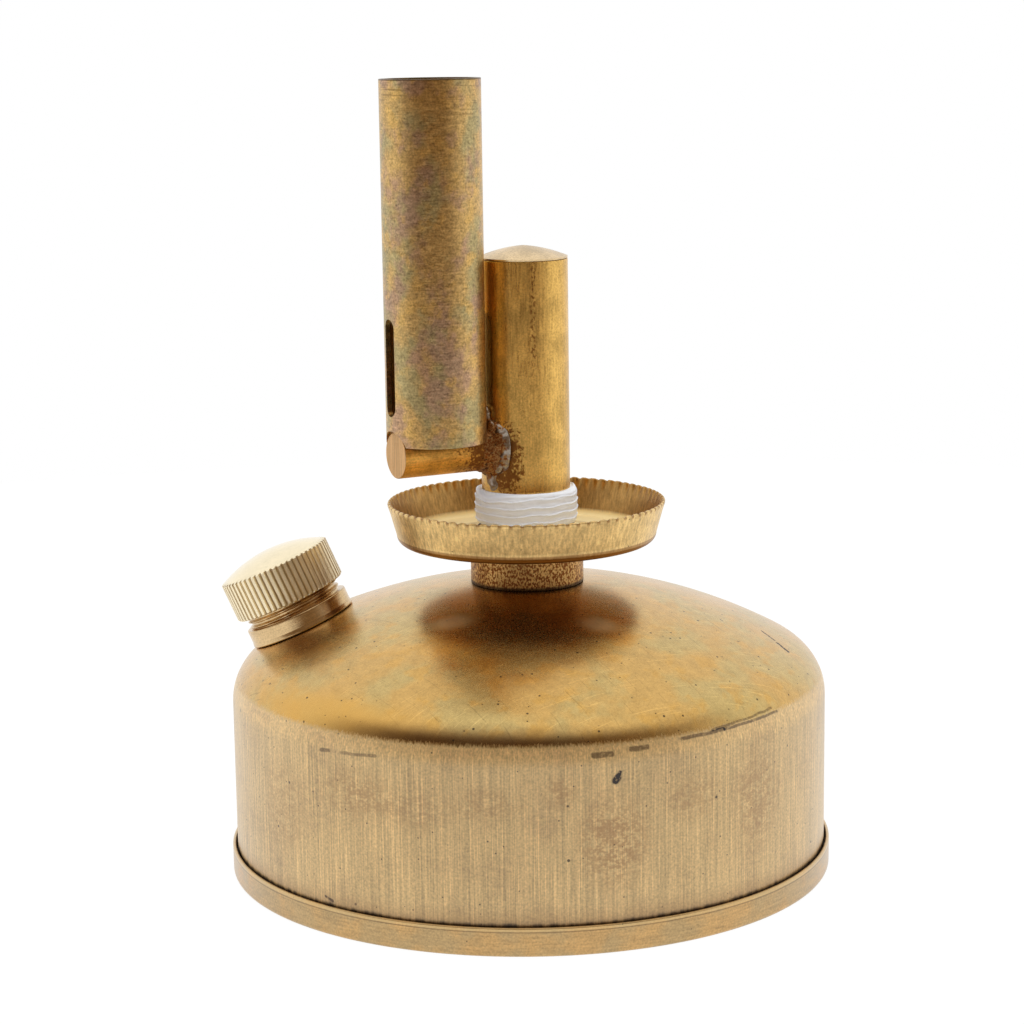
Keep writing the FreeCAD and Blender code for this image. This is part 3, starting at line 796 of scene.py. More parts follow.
def tank_finish(tank, colours):
    """Brushed wall and satin dome with stains, scratches and soot over the base, and painted light and
    shade: a dark reflection along the shoulder, pale highlights on dull spots and shade above the base.
    """
    shader = finish("tank_brass")
    textures = TankTextures(shader, tank)
    on_dome = textures.on_dome
    # Dark band along the front of the shoulder: a painted dark reflection over darker patina
    seam = (math.radians(SHOULDER_BAND_ANGLE) * tank.radius, tank.brushed_to)
    patina_and_dark_reflection = shader.patch(textures.across, textures.up, seam, 40 * MM, 3.6 * MM) * on_dome
    marks = mark_mask(shader, tank, textures)
    dots = (shader.specks(1.3 * MM, 0.17 * MM, share=0.2, seed=6)
            + shader.specks(1.7 * MM, 0.27 * MM, share=0.25, seed=13) * on_dome
            + shader.specks(4 * MM, 0.32 * MM, share=0.3, seed=12)).clamped()
    before_boss = shader.patch(textures.x, textures.y, (2 * MM, -26 * MM), 20 * MM, 12 * MM)
    pale_dots = shader.specks(1.1 * MM, 0.2 * MM, share=0.35, seed=7) * on_dome * before_boss
    # Dull spots: rougher, and lightened with a painted pale highlight
    dull = 0
    for middle_x, middle_y, wide, long in DULL_HIGHLIGHT_SPOTS:
        middle = (middle_x * MM, middle_y * MM)
        dull = shader.patch(textures.x, textures.y, middle, wide * MM, long * MM) * on_dome + dull
    jagged = textures.height + textures.strokes.spread(0.3 * MM) + textures.broad.spread(1.4 * MM)
    soot = 1 - shader.step(jagged, tank.pan_height - 0.3 * MM, tank.pan_height + 0.6 * MM)
    # Painted shade: the wall mottled darker towards the base pan's rim
    dust = shader.step(jagged, tank.pan_height + 4 * MM, tank.pan_height) * (0.2 + textures.fine * 0.4)
    tone = shader.layered(
        wall_tone(shader, tank, colours, textures),
        (on_dome, dome_tone(shader, tank, colours, textures)),
        (patina_and_dark_reflection * 0.85, colours.seam),
        (stain_mask(shader, tank, textures) * 0.65, colours.stain),
        (marks, colours.stain_dark),
        (shader.step(marks, 0.72, 0.9), colours.soot),
        (dots * 0.85, colours.soot),
        (pale_dots * 0.9, colours.cap),
        (dull * dull * 0.3, colours.cap),
        (dust, colours.stain),
        (soot * 0.95, colours.soot))
    rough = (0.58 - on_dome * 0.32 + textures.strokes.spread(0.2) + textures.patches.spread(0.12)
             + soot * 0.3 + marks * 0.2 + dull * 0.13)
    relief = textures.strokes * (1 - on_dome) * 3 + textures.grain * 0.25 - marks * 0.6
    return shader.surface(tone, rough, height=relief, depth=0.02 * MM,
                          constants={"Coat Weight": 0.75 - on_dome * 0.6, **LACQUER})


def plain_brass(name, tint, frame_of_piece=None, **texture):
    """Brass with fine strokes, cloudy tones and a little grain."""
    shader = finish(name, frame_of_piece)
    tone, rough, relief = brass_layers(shader, tint, **texture)
    return shader.surface(tone, rough, height=relief, depth=0.012 * MM)


def brass_layers(shader, tint, roughness, dark=1.0, shade=None, stretch=(1, 1, 1), stroke=0.3 * MM, seed=0.0,
                 contrast=1.0):
    """Colour, roughness and relief of brass with fine strokes, grain and patches of another shade."""
    if shade is None:
        shade = tuple(channel * dark for channel in tint)
    strokes = shader.clouds(stroke, stretch, seed=seed)
    patches = shader.clouds(5 * MM, detail=4, seed=seed + 1)
    grain = shader.clouds(0.36 * MM, seed=seed + 2)
    tone = shader.mix(shader.step(patches, 0.4, 0.64), tint, shade)
    tone = shader.shade(tone, 1 + (strokes.spread(0.6) + grain.spread(0.7)) * contrast)
    rough = roughness + (strokes.spread(0.2) + patches.spread(0.1)) * contrast
    return tone, rough, strokes + grain * 0.4


def pan_finish(tank, colours):
    """Brass with level strokes, reddish patches and a fine line under the lip."""
    shader = finish("pan_brass")
    tone, rough, relief = brass_layers(shader, colours.pan, roughness=0.36, shade=colours.pan_shade,
                                       stretch=level(15), stroke=0.36 * MM, seed=10, contrast=1.4)
    height = shader.parts(shader.place())[2]
    line = shader.stripe(height, tank.pan_height - 0.75 * MM, 0.05 * MM, 0.16 * MM)
    lip = shader.step(height, tank.pan_height - 0.7 * MM, tank.pan_height - 0.5 * MM)
    dots = shader.specks(1.6 * MM, 0.16 * MM, share=0.15, seed=14)
    tone = shader.layered(
        tone,
        (line * 0.5, colours.stain_dark),
        (lip * 0.4, colours.tray),
        (dots * 0.8, colours.soot))
    return shader.surface(tone, rough, height=relief, depth=0.012 * MM,
                          constants={"Coat Weight": 0.6, **LACQUER})


def boss_finish(colours, low, high):
    """Grainy brown brass with dirt along both seams."""
    shader = finish("boss_brass")
    tone, rough, relief = brass_layers(shader, colours.boss, roughness=0.38, dark=0.7,
                                       stretch=upright(2), stroke=0.4 * MM, seed=20)
    crumbs = shader.clouds(0.32 * MM, upright(1.5), detail=3, seed=23)
    glints = shader.specks(0.8 * MM, 0.2 * MM, share=0.25, seed=24)
    height = shader.parts(shader.place())[2]
    seams = (shader.step(height, high - 0.7 * MM, high - 0.2 * MM)
             + shader.step(height, low + 0.8 * MM, low + 0.2 * MM)).clamped()
    tone = shader.layered(
        tone,
        (shader.step(crumbs, 0.44, 0.56), colours.rust),
        (glints * 0.85, colours.tray),
        (seams * 0.85, colours.soot))
    return shader.surface(tone, rough + 0.1, height=relief + crumbs, depth=0.03 * MM)


def cap_finish(filler, colours, frame_of_piece):
    """Polished cap with a dull grip whose flutes are painted darker as shade."""
    shader = finish("cap_brass", frame_of_piece)
    tone, rough, relief = brass_layers(shader, colours.cap, roughness=0.13, dark=0.95, stretch=level(3),
                                       stroke=0.6 * MM, seed=50, contrast=0.25)
    x, y, height = shader.parts(shader.place())
    turn = y.math("ARCTAN2", y, x) * (filler.flutes / 2)
    flute = shader.step(abs(turn.math("SINE", turn)), 0.84, 0.99)
    on_grip = shader.step(height, filler.cap_edge + 0.05 * MM, filler.cap_edge - 0.15 * MM)
    # Painted shade: the flutes of the grip darkened
    tone = shader.mix(flute * on_grip * 0.65, tone, colours.groove)
    return shader.surface(tone, rough + on_grip * 0.28, height=relief, depth=0.001 * MM)


def tray_finish(tray, colours):
    """Bright tray with streaked walls, a brown lower corner and underside painted as dark reflection and
    shade, painted shade in the rim's dents, and a dull inside.
    """
    shader = finish("tray_brass")
    tone, rough, relief = brass_layers(shader, colours.tray, roughness=0.4, dark=0.85,
                                       stretch=upright(25), stroke=0.4 * MM, seed=30, contrast=1.2)
    streaks = shader.clouds(0.5 * MM, upright(40), seed=34).spread(1.2)
    dots = shader.specks(1.8 * MM, 0.16 * MM, share=0.2, seed=33)
    x, y, height = shader.parts(shader.place())
    above = height - tray.seat
    radius = (x * x + y * y) ** 0.5
    slope = (tray.rim_radius - tray.foot_radius) / (tray.rim - tray.seat - tray.corner)
    wall = tray.foot_radius + (above - tray.corner) * slope
    inside = (shader.step(wall - radius, 0.3 * tray.sheet, 0.6 * tray.sheet)
              * shader.step(above, 0.6 * tray.sheet, 0.9 * tray.sheet))
    outside = 1 - inside
    on_wall = shader.step(above, tray.corner * 0.8, tray.corner * 1.3)
    inner_wall = inside * on_wall
    floor = inside * (1 - on_wall)
    turn = y.math("ARCTAN2", y, x) * tray.crimps
    # Dents of the crimped rim: painted shade, in rust colour outside at the rim and deeper on the inner wall
    dent = turn.math("COSINE", turn) * 0.5 + 0.5
    near_rim = shader.step(height, tray.rim - tray.crimp_height, tray.rim)
    at_rim = shader.step(height, tray.rim - 0.8 * MM, tray.rim - 0.3 * MM)
    notch = outside * at_rim * shader.step(dent, 0.6, 0.9)
    # Lower corner and underside painted brown: a painted dark reflection on the corner's curve and painted
    # shade underneath
    corner = (outside * (1 - shader.step(above, 0.9 * MM, 1.25 * MM))
              * shader.step(radius, tray.foot_radius - 2.4 * MM, tray.foot_radius - 1.4 * MM))
    under = 1 - shader.step(above, 0.15 * MM, 0.3 * MM)
    line = shader.stripe(above, 1.3 * MM, 0.1 * MM, 0.28 * MM)
    ring = shader.stripe(radius, 16.5 * MM, 0.3 * MM, 1.6 * MM)
    painted_dark_band = Vector(colours.tray_shade).lerp(Vector(colours.rust), 0.4)
    tone = shader.layered(
        shader.shade(tone, 1 + streaks),
        (inner_wall * (0.8 + dent * near_rim * 0.2),
         shader.shade(colours.tray_shade, 1 + (relief - 0.7) * 0.8 + streaks)),
        (notch * 0.6, colours.rust),
        (floor, colours.tray_floor),
        ((corner * 0.95 + under * 0.75).clamped(), painted_dark_band),
        (line * outside * 0.6, colours.rust),
        (ring * floor * 0.35, colours.tray_shade),
        (dots * 0.8, colours.soot))
    rough = rough + floor * 0.3 - inner_wall * 0.06
    return shader.surface(tone, rough, metallic=1 - floor * 0.5, height=relief, depth=0.015 * MM)


def corroded(shader, tone, colours, near, seed):
    """Brass tone with red-brown and black corrosion where near is 1, and the mask of both."""
    crust = shader.clouds(0.9 * MM, detail=3, seed=seed)
    fine = shader.clouds(0.35 * MM, seed=seed + 1)
    red = shader.step(crust * 0.6 + fine * 0.4 + near * 0.3, 0.64, 0.76) * shader.step(near, 0.05, 0.4)
    black = shader.step(fine * 0.7 + crust * 0.3 + near * 0.1, 0.68, 0.74) * shader.step(near, 0.1, 0.6)
    tone = shader.layered(tone, (red * 0.8, colours.rust), (black * 0.7, colours.soot))
    return tone, (red + black).clamped()


def vaporiser_finish(head, colours):
    """Orange-gold tube with upright streaks, a dark line, corrosion round the arm and a painted reflection
    of the burner tube beside the arm.
    """
    shader = finish("vaporiser_brass")
    tone, rough, relief = brass_layers(shader, colours.vaporiser, roughness=0.32, dark=0.75,
                                       stretch=upright(10), stroke=0.36 * MM, seed=60, contrast=1.6)
    across, up = shader.around(head.vaporiser_radius)
    speckle = shader.clouds(0.36 * MM, upright(1.6), seed=66)
    seam = math.radians(SEAM_ANGLE) * head.vaporiser_radius
    line = shader.stripe(across, seam, 0.2 * MM, 0.9 * MM) * shader.step(up, 86 * MM, 96 * MM)
    arm_side = (head.turned - FULL_TURN) * head.vaporiser_radius
    # Orange strip beside the arm: a painted reflection of the burner tube next to it
    strip = shader.stripe(across, arm_side, 1 * MM, 4 * MM) * shader.step(up, 82 * MM, 90 * MM)
    tone = shader.layered(
        tone,
        (line * shader.step(speckle, 0.5, 0.6) * 0.8, colours.rust),
        (strip * 0.7, colours.vaporiser_reflection))
    near = shader.patch(across, up, (arm_side + 4.6 * MM, head.arm_height - 2 * MM), 5.8 * MM, 11 * MM)
    tone, crust = corroded(shader, tone, colours, near, 68)
    return shader.surface(tone, rough + crust * 0.3, height=relief + crust, depth=0.02 * MM)


def arm_finish(head, colours):
    """Orange-gold bar, corroded beside the vaporiser and pale on its sawn end."""
    shader = finish("arm_brass", arm_place(head))
    tone, rough, relief = brass_layers(shader, colours.arm, roughness=0.42, dark=0.65,
                                       stretch=upright(12), stroke=0.34 * MM, seed=70, contrast=1.6)
    along = shader.parts(shader.place())[2]
    near = 1 - shader.step(along, 9 * MM, 19 * MM) * 0.8
    tone, crust = corroded(shader, tone, colours, near, 73)
    saw = shader.clouds(0.4 * MM, (40, 1, 1), seed=75)
    sawn = shader.step(along, head.arm_end - 0.12 * MM, head.arm_end - 0.05 * MM)
    tone = shader.mix(sawn, tone, shader.shade(colours.sawn, 1 + saw.spread(1.4)))
    rough = rough + crust * 0.3 + sawn * 0.15
    return shader.surface(tone, rough, height=relief + crust + sawn * saw * 2, depth=0.02 * MM)


def burner_finish(head, colours, frame_of_piece):
    """Tube mottled with olive and reddish tarnish, with fine turned lines and a dark mouth."""
    shader = finish("burner_brass", frame_of_piece)
    height = shader.parts(shader.place())[2]
    lines = shader.clouds(0.32 * MM, level(20), seed=80)
    rubbed = shader.clouds(0.4 * MM, level(3), seed=81)
    olive = shader.clouds(6 * MM, upright(1.4), detail=4, seed=82)
    pink = shader.clouds(5 * MM, upright(1.2), detail=4, seed=83)
    gold = shader.clouds(3.5 * MM, detail=4, seed=86)
    mottle = shader.clouds(1 * MM, detail=3, seed=87)
    grain = shader.clouds(0.36 * MM, seed=84)
    dots = shader.specks(1.8 * MM, 0.15 * MM, share=0.2, seed=85)
    near_mouth = shader.step(height, head.burner_top - 18 * MM, head.burner_top)
    scores = shader.step(lines, 0.58, 0.66) * near_mouth
    mouth = shader.step(height, head.burner_top - 0.35 * MM, head.burner_top - 0.1 * MM)
    tone = shader.layered(
        colours.burner,
        (shader.step(olive, 0.44, 0.58) * 0.85, colours.burner_olive),
        (shader.step(pink, 0.48, 0.62) * 0.75, colours.burner_pink),
        (shader.step(gold, 0.52, 0.66) * 0.7, colours.burner_gold))
    light = 0.97 + rubbed.spread(0.8) + grain.spread(1.4) + lines.spread(0.4) + mottle.spread(0.8)
    tone = shader.layered(
        shader.shade(tone, light),
        (scores * 0.5, colours.stain_dark),
        (mouth * 0.75, colours.soot),
        (dots * 0.8, colours.soot))
    rough = 0.36 + rubbed.spread(0.25) + olive.spread(0.2)
    return shader.surface(tone, rough, height=rubbed + lines * 0.6 + grain * 0.4, depth=0.016 * MM)


def braze_finish(head, colours):
    """Silver braze along the rim of the bead, and brown residue elsewhere."""
    shader = finish("silver_braze", arm_place(head))
    lumps = shader.clouds(0.9 * MM, detail=3, seed=90)
    fine = shader.clouds(0.3 * MM, seed=91)
    x, y, _ = shader.parts(shader.place())
    off_arm = (x * x + y * y) ** 0.5
    silver = shader.step(off_arm + lumps.spread(1.6 * MM), 5.6 * MM, 5.9 * MM) * 0.85
    tone = shader.layered(
        colours.rust,
        (shader.step(fine, 0.42, 0.6), colours.stain),
        (shader.step(lumps, 0.55, 0.62) * 0.8, colours.soot),
        (silver, shader.shade(colours.braze, 0.5 + fine * 0.8)))
    return shader.surface(tone, 0.5 - silver * 0.2, height=lumps + fine * 0.5, depth=0.05 * MM)


# Pieces

class BURNER_OT_tank(bpy.types.Operator):
    """Make the tank: wall, shoulder and dome in one sheet"""

    bl_idname = "burner.tank"
    bl_label = "Tank"

    def execute(self, context):
        sizes = context.scene.burner.tank
        centre = (0, sizes.dome_top - sizes.dome_radius)
        inset = sizes.radius - sizes.shoulder
        rise = math.sqrt((sizes.dome_radius - sizes.shoulder) ** 2 - inset ** 2)
        shoulder = (inset, centre[1] + rise)
        blend = math.atan2(rise, inset)
        waves_per_metre = 28
        waves_upwards = 1.3

        def skin(depth, dome_steps, shoulder_steps):
            dome = sizes.dome_radius - depth
            start = math.acos(sizes.boss_spigot / dome)
            return (arc(centre, dome, start, blend, dome_steps)[:-1]
                    + arc(shoulder, sizes.shoulder - depth, blend, 0, shoulder_steps))

        def strayed(radius, height, turn):
            place = Vector((radius * math.cos(turn), radius * math.sin(turn), height)) * waves_per_metre
            outwards = noise.noise(place) * sizes.waviness
            upwards = noise.noise(place * waves_upwards) * sizes.waviness
            return radius + outwards, height + upwards

        outside = skin(0, dome_steps=44, shoulder_steps=16)
        inside = skin(sizes.sheet, dome_steps=20, shoulder_steps=10)
        wall = rows(outside[-1], (sizes.radius, sizes.foot), spacing=2 * MM)[1:]
        lip = [(sizes.radius, sizes.foot), (sizes.radius - sizes.sheet, sizes.foot)]
        piece = turned("tank", outside + wall + lip + inside[::-1], segments=256, ripple=strayed)
        hole = rod("neck_hole", context.scene.burner.filler.spigot, half_length=5 * MM)
        hole.matrix_world = neck_place(sizes)
        smooth(cut(piece, hole))
        fit(piece, "tank", "tank_brass", tank_finish(sizes, context.scene.burner.colours), "tank_shell")
        return {"FINISHED"}


class BURNER_OT_pan(bpy.types.Operator):
    """Make the base pan with its rolled rim"""

    bl_idname = "burner.pan"
    bl_label = "Base pan"

    def execute(self, context):
        sizes = context.scene.burner.tank
        colours = context.scene.burner.colours
        inner = sizes.pan_radius - sizes.pan_sheet
        lip = 0.48 * sizes.pan_sheet
        outline = rounded(
            (0, 0, 0), (sizes.pan_radius, 0, sizes.pan_edge), (sizes.pan_radius, sizes.pan_height, lip),
            (inner, sizes.pan_height, lip), (inner, sizes.foot, 0), (0, sizes.foot, 0), steps=6)
        piece = smooth(turned("base_pan_rim", outline, segments=256))
        fit(piece, "tank", "pan_brass", pan_finish(sizes, colours), "base_pan")
        return {"FINISHED"}


class BURNER_OT_boss(bpy.types.Operator):
    """Finish the boss that carries the tray and the head"""

    bl_idname = "burner.boss"
    bl_label = "Boss"

    def execute(self, context):
        colours = context.scene.burner.colours
        dress(boss_finish(colours, top("tank_shell"), foot("preheat_tray")), "head_boss")
        return {"FINISHED"}


class BURNER_OT_tray(bpy.types.Operator):
    """Make the preheating tray with its crimped rim"""

    bl_idname = "burner.tray"
    bl_label = "Preheating tray"

    def execute(self, context):
        sizes = context.scene.burner.tray
        spigot = context.scene.burner.tank.boss_spigot
        colours = context.scene.burner.colours
        corner = (sizes.foot_radius - sizes.corner, sizes.seat + sizes.corner)
        quarter = math.pi / 2
        half_sheet = sizes.sheet / 2
        lip = 0.3 * sizes.sheet
        rim = (sizes.rim_radius, sizes.rim - lip)
        inner_rim = (sizes.rim_radius - sizes.sheet, sizes.rim - lip)
        inner_foot = (sizes.foot_radius - sizes.sheet, corner[1])
        outline = ([(spigot, sizes.seat)] + arc(corner, sizes.corner, -quarter, 0, steps=8)
                   + rows((sizes.foot_radius, corner[1]), rim, spacing=0.5 * MM)[1:]
                   + arc((rim[0] - half_sheet, rim[1]), half_sheet, 0, math.pi, steps=6)
                   + rows(inner_rim, inner_foot, spacing=0.3 * MM)[1:]
                   + arc(corner, sizes.corner - sizes.sheet, 0, -quarter, steps=6)
                   + [(spigot, sizes.seat + sizes.sheet)])
        slope = (sizes.rim_radius - sizes.foot_radius) / (sizes.rim - corner[1])
        fade_power = 1.3
        narrowness = 2.5
        usual_depth = 0.75
        unevenness = 0.5
        change_of_depth = 9
        outside_share = 0.25
        rim_drop = 0.6
        rim_drop_power = 6

        def crimped(radius, height, turn):
            wall = sizes.foot_radius + (height - corner[1]) * slope
            fade = max(0, 1 - (sizes.rim - height) / sizes.crimp_height) ** fade_power
            wave = (0.5 + 0.5 * math.cos(turn * sizes.crimps)) ** narrowness
            ring = Vector((math.cos(turn), math.sin(turn), 0)) * change_of_depth
            uneven = usual_depth + unevenness * noise.noise(ring)
            share = 1 if radius < wall - half_sheet else outside_share
            dent = sizes.crimp_depth * fade * wave * uneven
            return radius + dent * share, height - rim_drop * dent * fade ** rim_drop_power

        piece = smooth(turned("tray", outline, sizes.crimps * 8, crimped), sharp_degrees=60)
        fit(piece, "tank", "tray_brass", tray_finish(sizes, colours), "preheat_tray")
        return {"FINISHED"}


class BURNER_OT_neck(bpy.types.Operator):
    """Make the filler neck with its collar and thread"""

    bl_idname = "burner.neck"
    bl_label = "Filler neck"

    def execute(self, context):
        sizes = context.scene.burner.filler
        tank = context.scene.burner.tank
        colours = context.scene.burner.colours
        seat = math.sqrt(tank.dome_radius ** 2 - sizes.spigot ** 2) - tank.dome_radius
        edge = 0.25 * MM
        flare = 0.9 * MM
        rings_per_turn = 14
        thread_foot = (sizes.thread_root, sizes.collar_top + 0.05 * MM)
        thread_end = (sizes.thread_root, sizes.neck_top - edge)
        outline = rounded(
            (sizes.bore, -sizes.spigot_depth, 0), (sizes.spigot, -sizes.spigot_depth, 0),
            (sizes.spigot, seat, 0), (sizes.collar_foot, seat, edge), (sizes.collar, seat + flare, edge),
            (sizes.collar, sizes.collar_top, edge), (sizes.thread_root, sizes.collar_top, 0))
        outline += rows(thread_foot, thread_end, sizes.pitch / rings_per_turn)
        outline += [thread_end, (sizes.thread_root - edge, sizes.neck_top),
                    (sizes.bore + edge, sizes.neck_top), (sizes.bore, sizes.neck_top - edge)]

        def threaded(radius, height, turn):
            if radius != sizes.thread_root or height < sizes.collar_top:
                return radius, height
            ridge = thread(height, turn, sizes.thread_low, sizes.thread_high, sizes.pitch)
            return radius + (sizes.thread_crest - sizes.thread_root) * ridge, height

        piece = smooth(turned("neck", outline, segments=160, ripple=threaded), sharp_degrees=50)
        piece.data.transform(neck_place(tank))
        look = plain_brass("neck_brass", colours.neck, roughness=0.22, dark=0.85,
                           frame_of_piece=neck_place(tank), stretch=level(30), stroke=0.2 * MM, seed=40)
        fit(piece, "tank", "neck_brass", look, "filler_neck")
        return {"FINISHED"}


class BURNER_OT_cap(bpy.types.Operator):
    """Make the filler cap with its fluted grip and domed crown"""

    bl_idname = "burner.cap"
    bl_label = "Filler cap"

    def execute(self, context):
        sizes = context.scene.burner.filler
        colours = context.scene.burner.colours
        rise = sizes.cap_crown - sizes.cap_edge
        crown_radius = (sizes.cap_radius ** 2 + rise ** 2) / (2 * rise)
        crown_edge = math.acos(sizes.cap_radius / crown_radius)
        crown = arc((0, sizes.cap_crown - crown_radius), crown_radius, crown_edge, math.pi / 2, steps=20)
        chamfer = 0.3 * MM
        edge_break = 0.08 * MM
        undercut = 0.1 * MM
        rings_per_turn = 10
        outline = [(sizes.cap_bore + chamfer, sizes.cap_foot), (sizes.cap_radius - chamfer, sizes.cap_foot),
                   (sizes.cap_radius, sizes.cap_foot + chamfer),
                   (sizes.cap_radius, sizes.cap_edge - edge_break)]
        outline += crown[1:-1]
        outline += [(0, sizes.cap_crown), (0, sizes.cap_ceiling), (sizes.cap_bore, sizes.cap_ceiling)]
        outline += rows((sizes.cap_bore, sizes.cap_ceiling - undercut),
                        (sizes.cap_bore, sizes.cap_foot + chamfer), sizes.pitch / rings_per_turn)
        ridge_height = 0.5 * MM
        thread_low = sizes.thread_low + 3.5 * sizes.pitch
        thread_high = thread_low + 3 * sizes.pitch
        outer_skin = sizes.cap_bore + 1.1 * chamfer
        land = 0.74
        flank = 0.25

        def gripped(radius, height, turn):
            if radius > outer_skin:
                wave = abs(math.sin(turn * sizes.flutes / 2))
                flute = min(1, max(0, (wave - land) / flank))
                flute = flute * flute * (3 - 2 * flute)
                return min(radius, sizes.cap_radius - sizes.flute_depth * flute), height
            if radius == sizes.cap_bore and height < sizes.cap_ceiling:
                ridge = thread(height, turn, thread_low, thread_high, sizes.pitch)
                return radius - ridge_height * ridge, height
            return radius, height

        piece = smooth(turned("cap", outline, sizes.flutes * 8, gripped), sharp_degrees=50)
        place = neck_place(context.scene.burner.tank)
        piece.data.transform(place)
        fit(piece, "cap", "cap_brass", cap_finish(sizes, colours, place), "filler_cap")
        return {"FINISHED"}


class BURNER_OT_vaporiser(bpy.types.Operator):
    """Make the vaporiser and the cone that closes it"""

    bl_idname = "burner.vaporiser"
    bl_label = "Vaporiser"

    def execute(self, context):
        sizes = context.scene.burner.head
        colours = context.scene.burner.colours
        radius = sizes.vaporiser_radius
        inner = radius - sizes.vaporiser_wall
        edge = 0.15 * MM
        tube = rounded((inner, sizes.vaporiser_foot, 0), (radius, sizes.vaporiser_foot, edge),
                       (radius, sizes.vaporiser_top, edge), (inner, sizes.vaporiser_top, 0))
        piece = smooth(turned("vaporiser", tube, segments=160))
        fit(piece, "head", "vaporiser_brass", vaporiser_finish(sizes, colours), "vaporiser_tube")
        seam = sizes.vaporiser_top + 0.1 * MM
        brim = seam + 0.3 * MM
        brim_break = 0.05 * MM
        roundness = 0.65
        steps = 14
        cone = [(0, sizes.cone_foot), (inner, sizes.cone_foot), (inner, seam), (radius - brim_break, seam)]
        for step in range(steps + 1):
            share = 1 - step / steps
            rise = roundness * (1 - share ** 2) + (1 - roundness) * (1 - share)
            cone.append((radius * share, brim + (sizes.cone_top - brim) * rise))
        piece = smooth(turned("vaporiser_cone", cone, segments=128))
        look = plain_brass("cone_brass", colours.cone, roughness=0.3, dark=0.75,
                           stroke=0.5 * MM, seed=65)
        fit(piece, "head", "cone_brass", look, "vaporiser_cap")
        return {"FINISHED"}


class BURNER_OT_arm(bpy.types.Operator):
    """Make the cross arm with its sawn end"""

    bl_idname = "burner.arm"
    bl_label = "Vapour arm"

    def execute(self, context):
        sizes = context.scene.burner.head
        colours = context.scene.burner.colours
        edge = 0.2 * MM
        outline = rounded((0, sizes.arm_start, 0), (sizes.arm_radius, sizes.arm_start, 0),
                          (sizes.arm_radius, sizes.arm_end, edge), (0, sizes.arm_end, 0))
        piece = smooth(turned("arm", outline, segments=128))
        piece.data.transform(arm_place(sizes))
        fit(piece, "head", "arm_brass", arm_finish(sizes, colours), "vapour_arm")
        return {"FINISHED"}


class BURNER_OT_burner(bpy.types.Operator):
    """Make the burner tube with its air slots and notches"""

    bl_idname = "burner.burner"
    bl_label = "Burner tube"

    def execute(self, context):
        sizes = context.scene.burner.head
        colours = context.scene.burner.colours
        outer = sizes.burner_radius
        inner = outer - sizes.burner_wall
        edge = 0.14 * MM
        clear = 0.5 * MM
        levels = (sizes.arm_height + sizes.notch + clear, sizes.slot_low - clear, sizes.slot_high + clear)
        tube = rounded((inner, sizes.burner_foot, edge), (outer, sizes.burner_foot, edge),
                       *((outer, height, 0) for height in levels),
                       (outer, sizes.burner_top, edge), (inner, sizes.burner_top, edge),
                       *((inner, height, 0) for height in reversed(levels)))
        piece = turned("burner", tube)
        through = 2 * outer
        notch = rod("notch", sizes.notch, half_length=through)
        notch.matrix_world = (Matrix.Translation((0, 0, sizes.arm_height))
                              @ Matrix.Rotation(math.pi / 2, 4, "Y"))
        cut(piece, notch)
        cut(piece, self.slot_cutter(sizes, through))
        smooth(piece)
        place = Matrix.Translation(axis_of("burner_tube")) @ Matrix.Rotation(sizes.turned, 4, "Z")
        piece.data.transform(place)
        fit(piece, "head", "burner_brass", burner_finish(sizes, colours, place), "burner_tube")
        return {"FINISHED"}

    def slot_cutter(self, sizes, through):
        """Bar with round ends that lies along X."""
        half = sizes.slot_width / 2
        stadium = (arc((0, sizes.slot_high - half), half, 0, math.pi, steps=16)
                   + arc((0, sizes.slot_low + half), half, math.pi, FULL_TURN, steps=16))
        shape = bmesh.new()
        near, far = ([shape.verts.new((end, side, high)) for side, high in stadium]
                     for end in (-through, through))
        for index, corner in enumerate(near):
            shape.faces.new((near[index - 1], corner, far[index], far[index - 1]))
        shape.faces.new(near)
        shape.faces.new(far)
        return new_piece("slot", shape)


class BURNER_OT_braze(bpy.types.Operator):
    """Make the lumpy silver braze round the arm"""

    bl_idname = "burner.braze"
    bl_label = "Braze"

    def execute(self, context):
        sizes = context.scene.burner.head
        look = braze_finish(sizes, context.scene.burner.colours)
        inside_arm = 0.8 * sizes.arm_radius
        start = BRAZE_BEAD[0][1] * MM
        end = 10.6 * MM
        bead = rounded((inside_arm, start, 0), *(Vector(corner) * MM for corner in BRAZE_BEAD),
                       (sizes.arm_radius, end, 0.1 * MM), (inside_arm, end, 0))
        piece = turned("braze", bead, segments=64)
        piece.data.transform(Matrix.Rotation(-sizes.turned, 4, "Z") @ arm_place(sizes))
        shape = bmesh.new()
        shape.from_mesh(piece.data)
        for middle, radii in BRAZE_LUMPS:
            place = Matrix.Translation(Vector(middle) * MM) @ Matrix.Diagonal((*(Vector(radii) * MM), 1))
            bmesh.ops.create_icosphere(shape, subdivisions=3, radius=1, matrix=place)
        shape.to_mesh(piece.data)
        shape.free()
        melt = piece.modifiers.new("melt", "REMESH")
        melt.mode = "VOXEL"
        melt.voxel_size = 0.2 * MM
        flow = piece.modifiers.new("flow", "SMOOTH")
        flow.iterations = 5
        applied(piece)
        lump_width = 1.3 * MM
        crumb_width = 0.6 * MM
        roughness = 0.16 * MM
        for vertex in piece.data.vertices:
            lump = noise.noise(vertex.co / lump_width) + 0.5 * noise.noise(vertex.co / crumb_width)
            vertex.co += vertex.normal * lump * roughness
        piece.data.transform(Matrix.Rotation(sizes.turned, 4, "Z"))
        smooth(piece, sharp_degrees=80)
        fit(piece, "head", "silver_braze", look, "arm_braze")
        dress(look, "tube_braze")
        return {"FINISHED"}


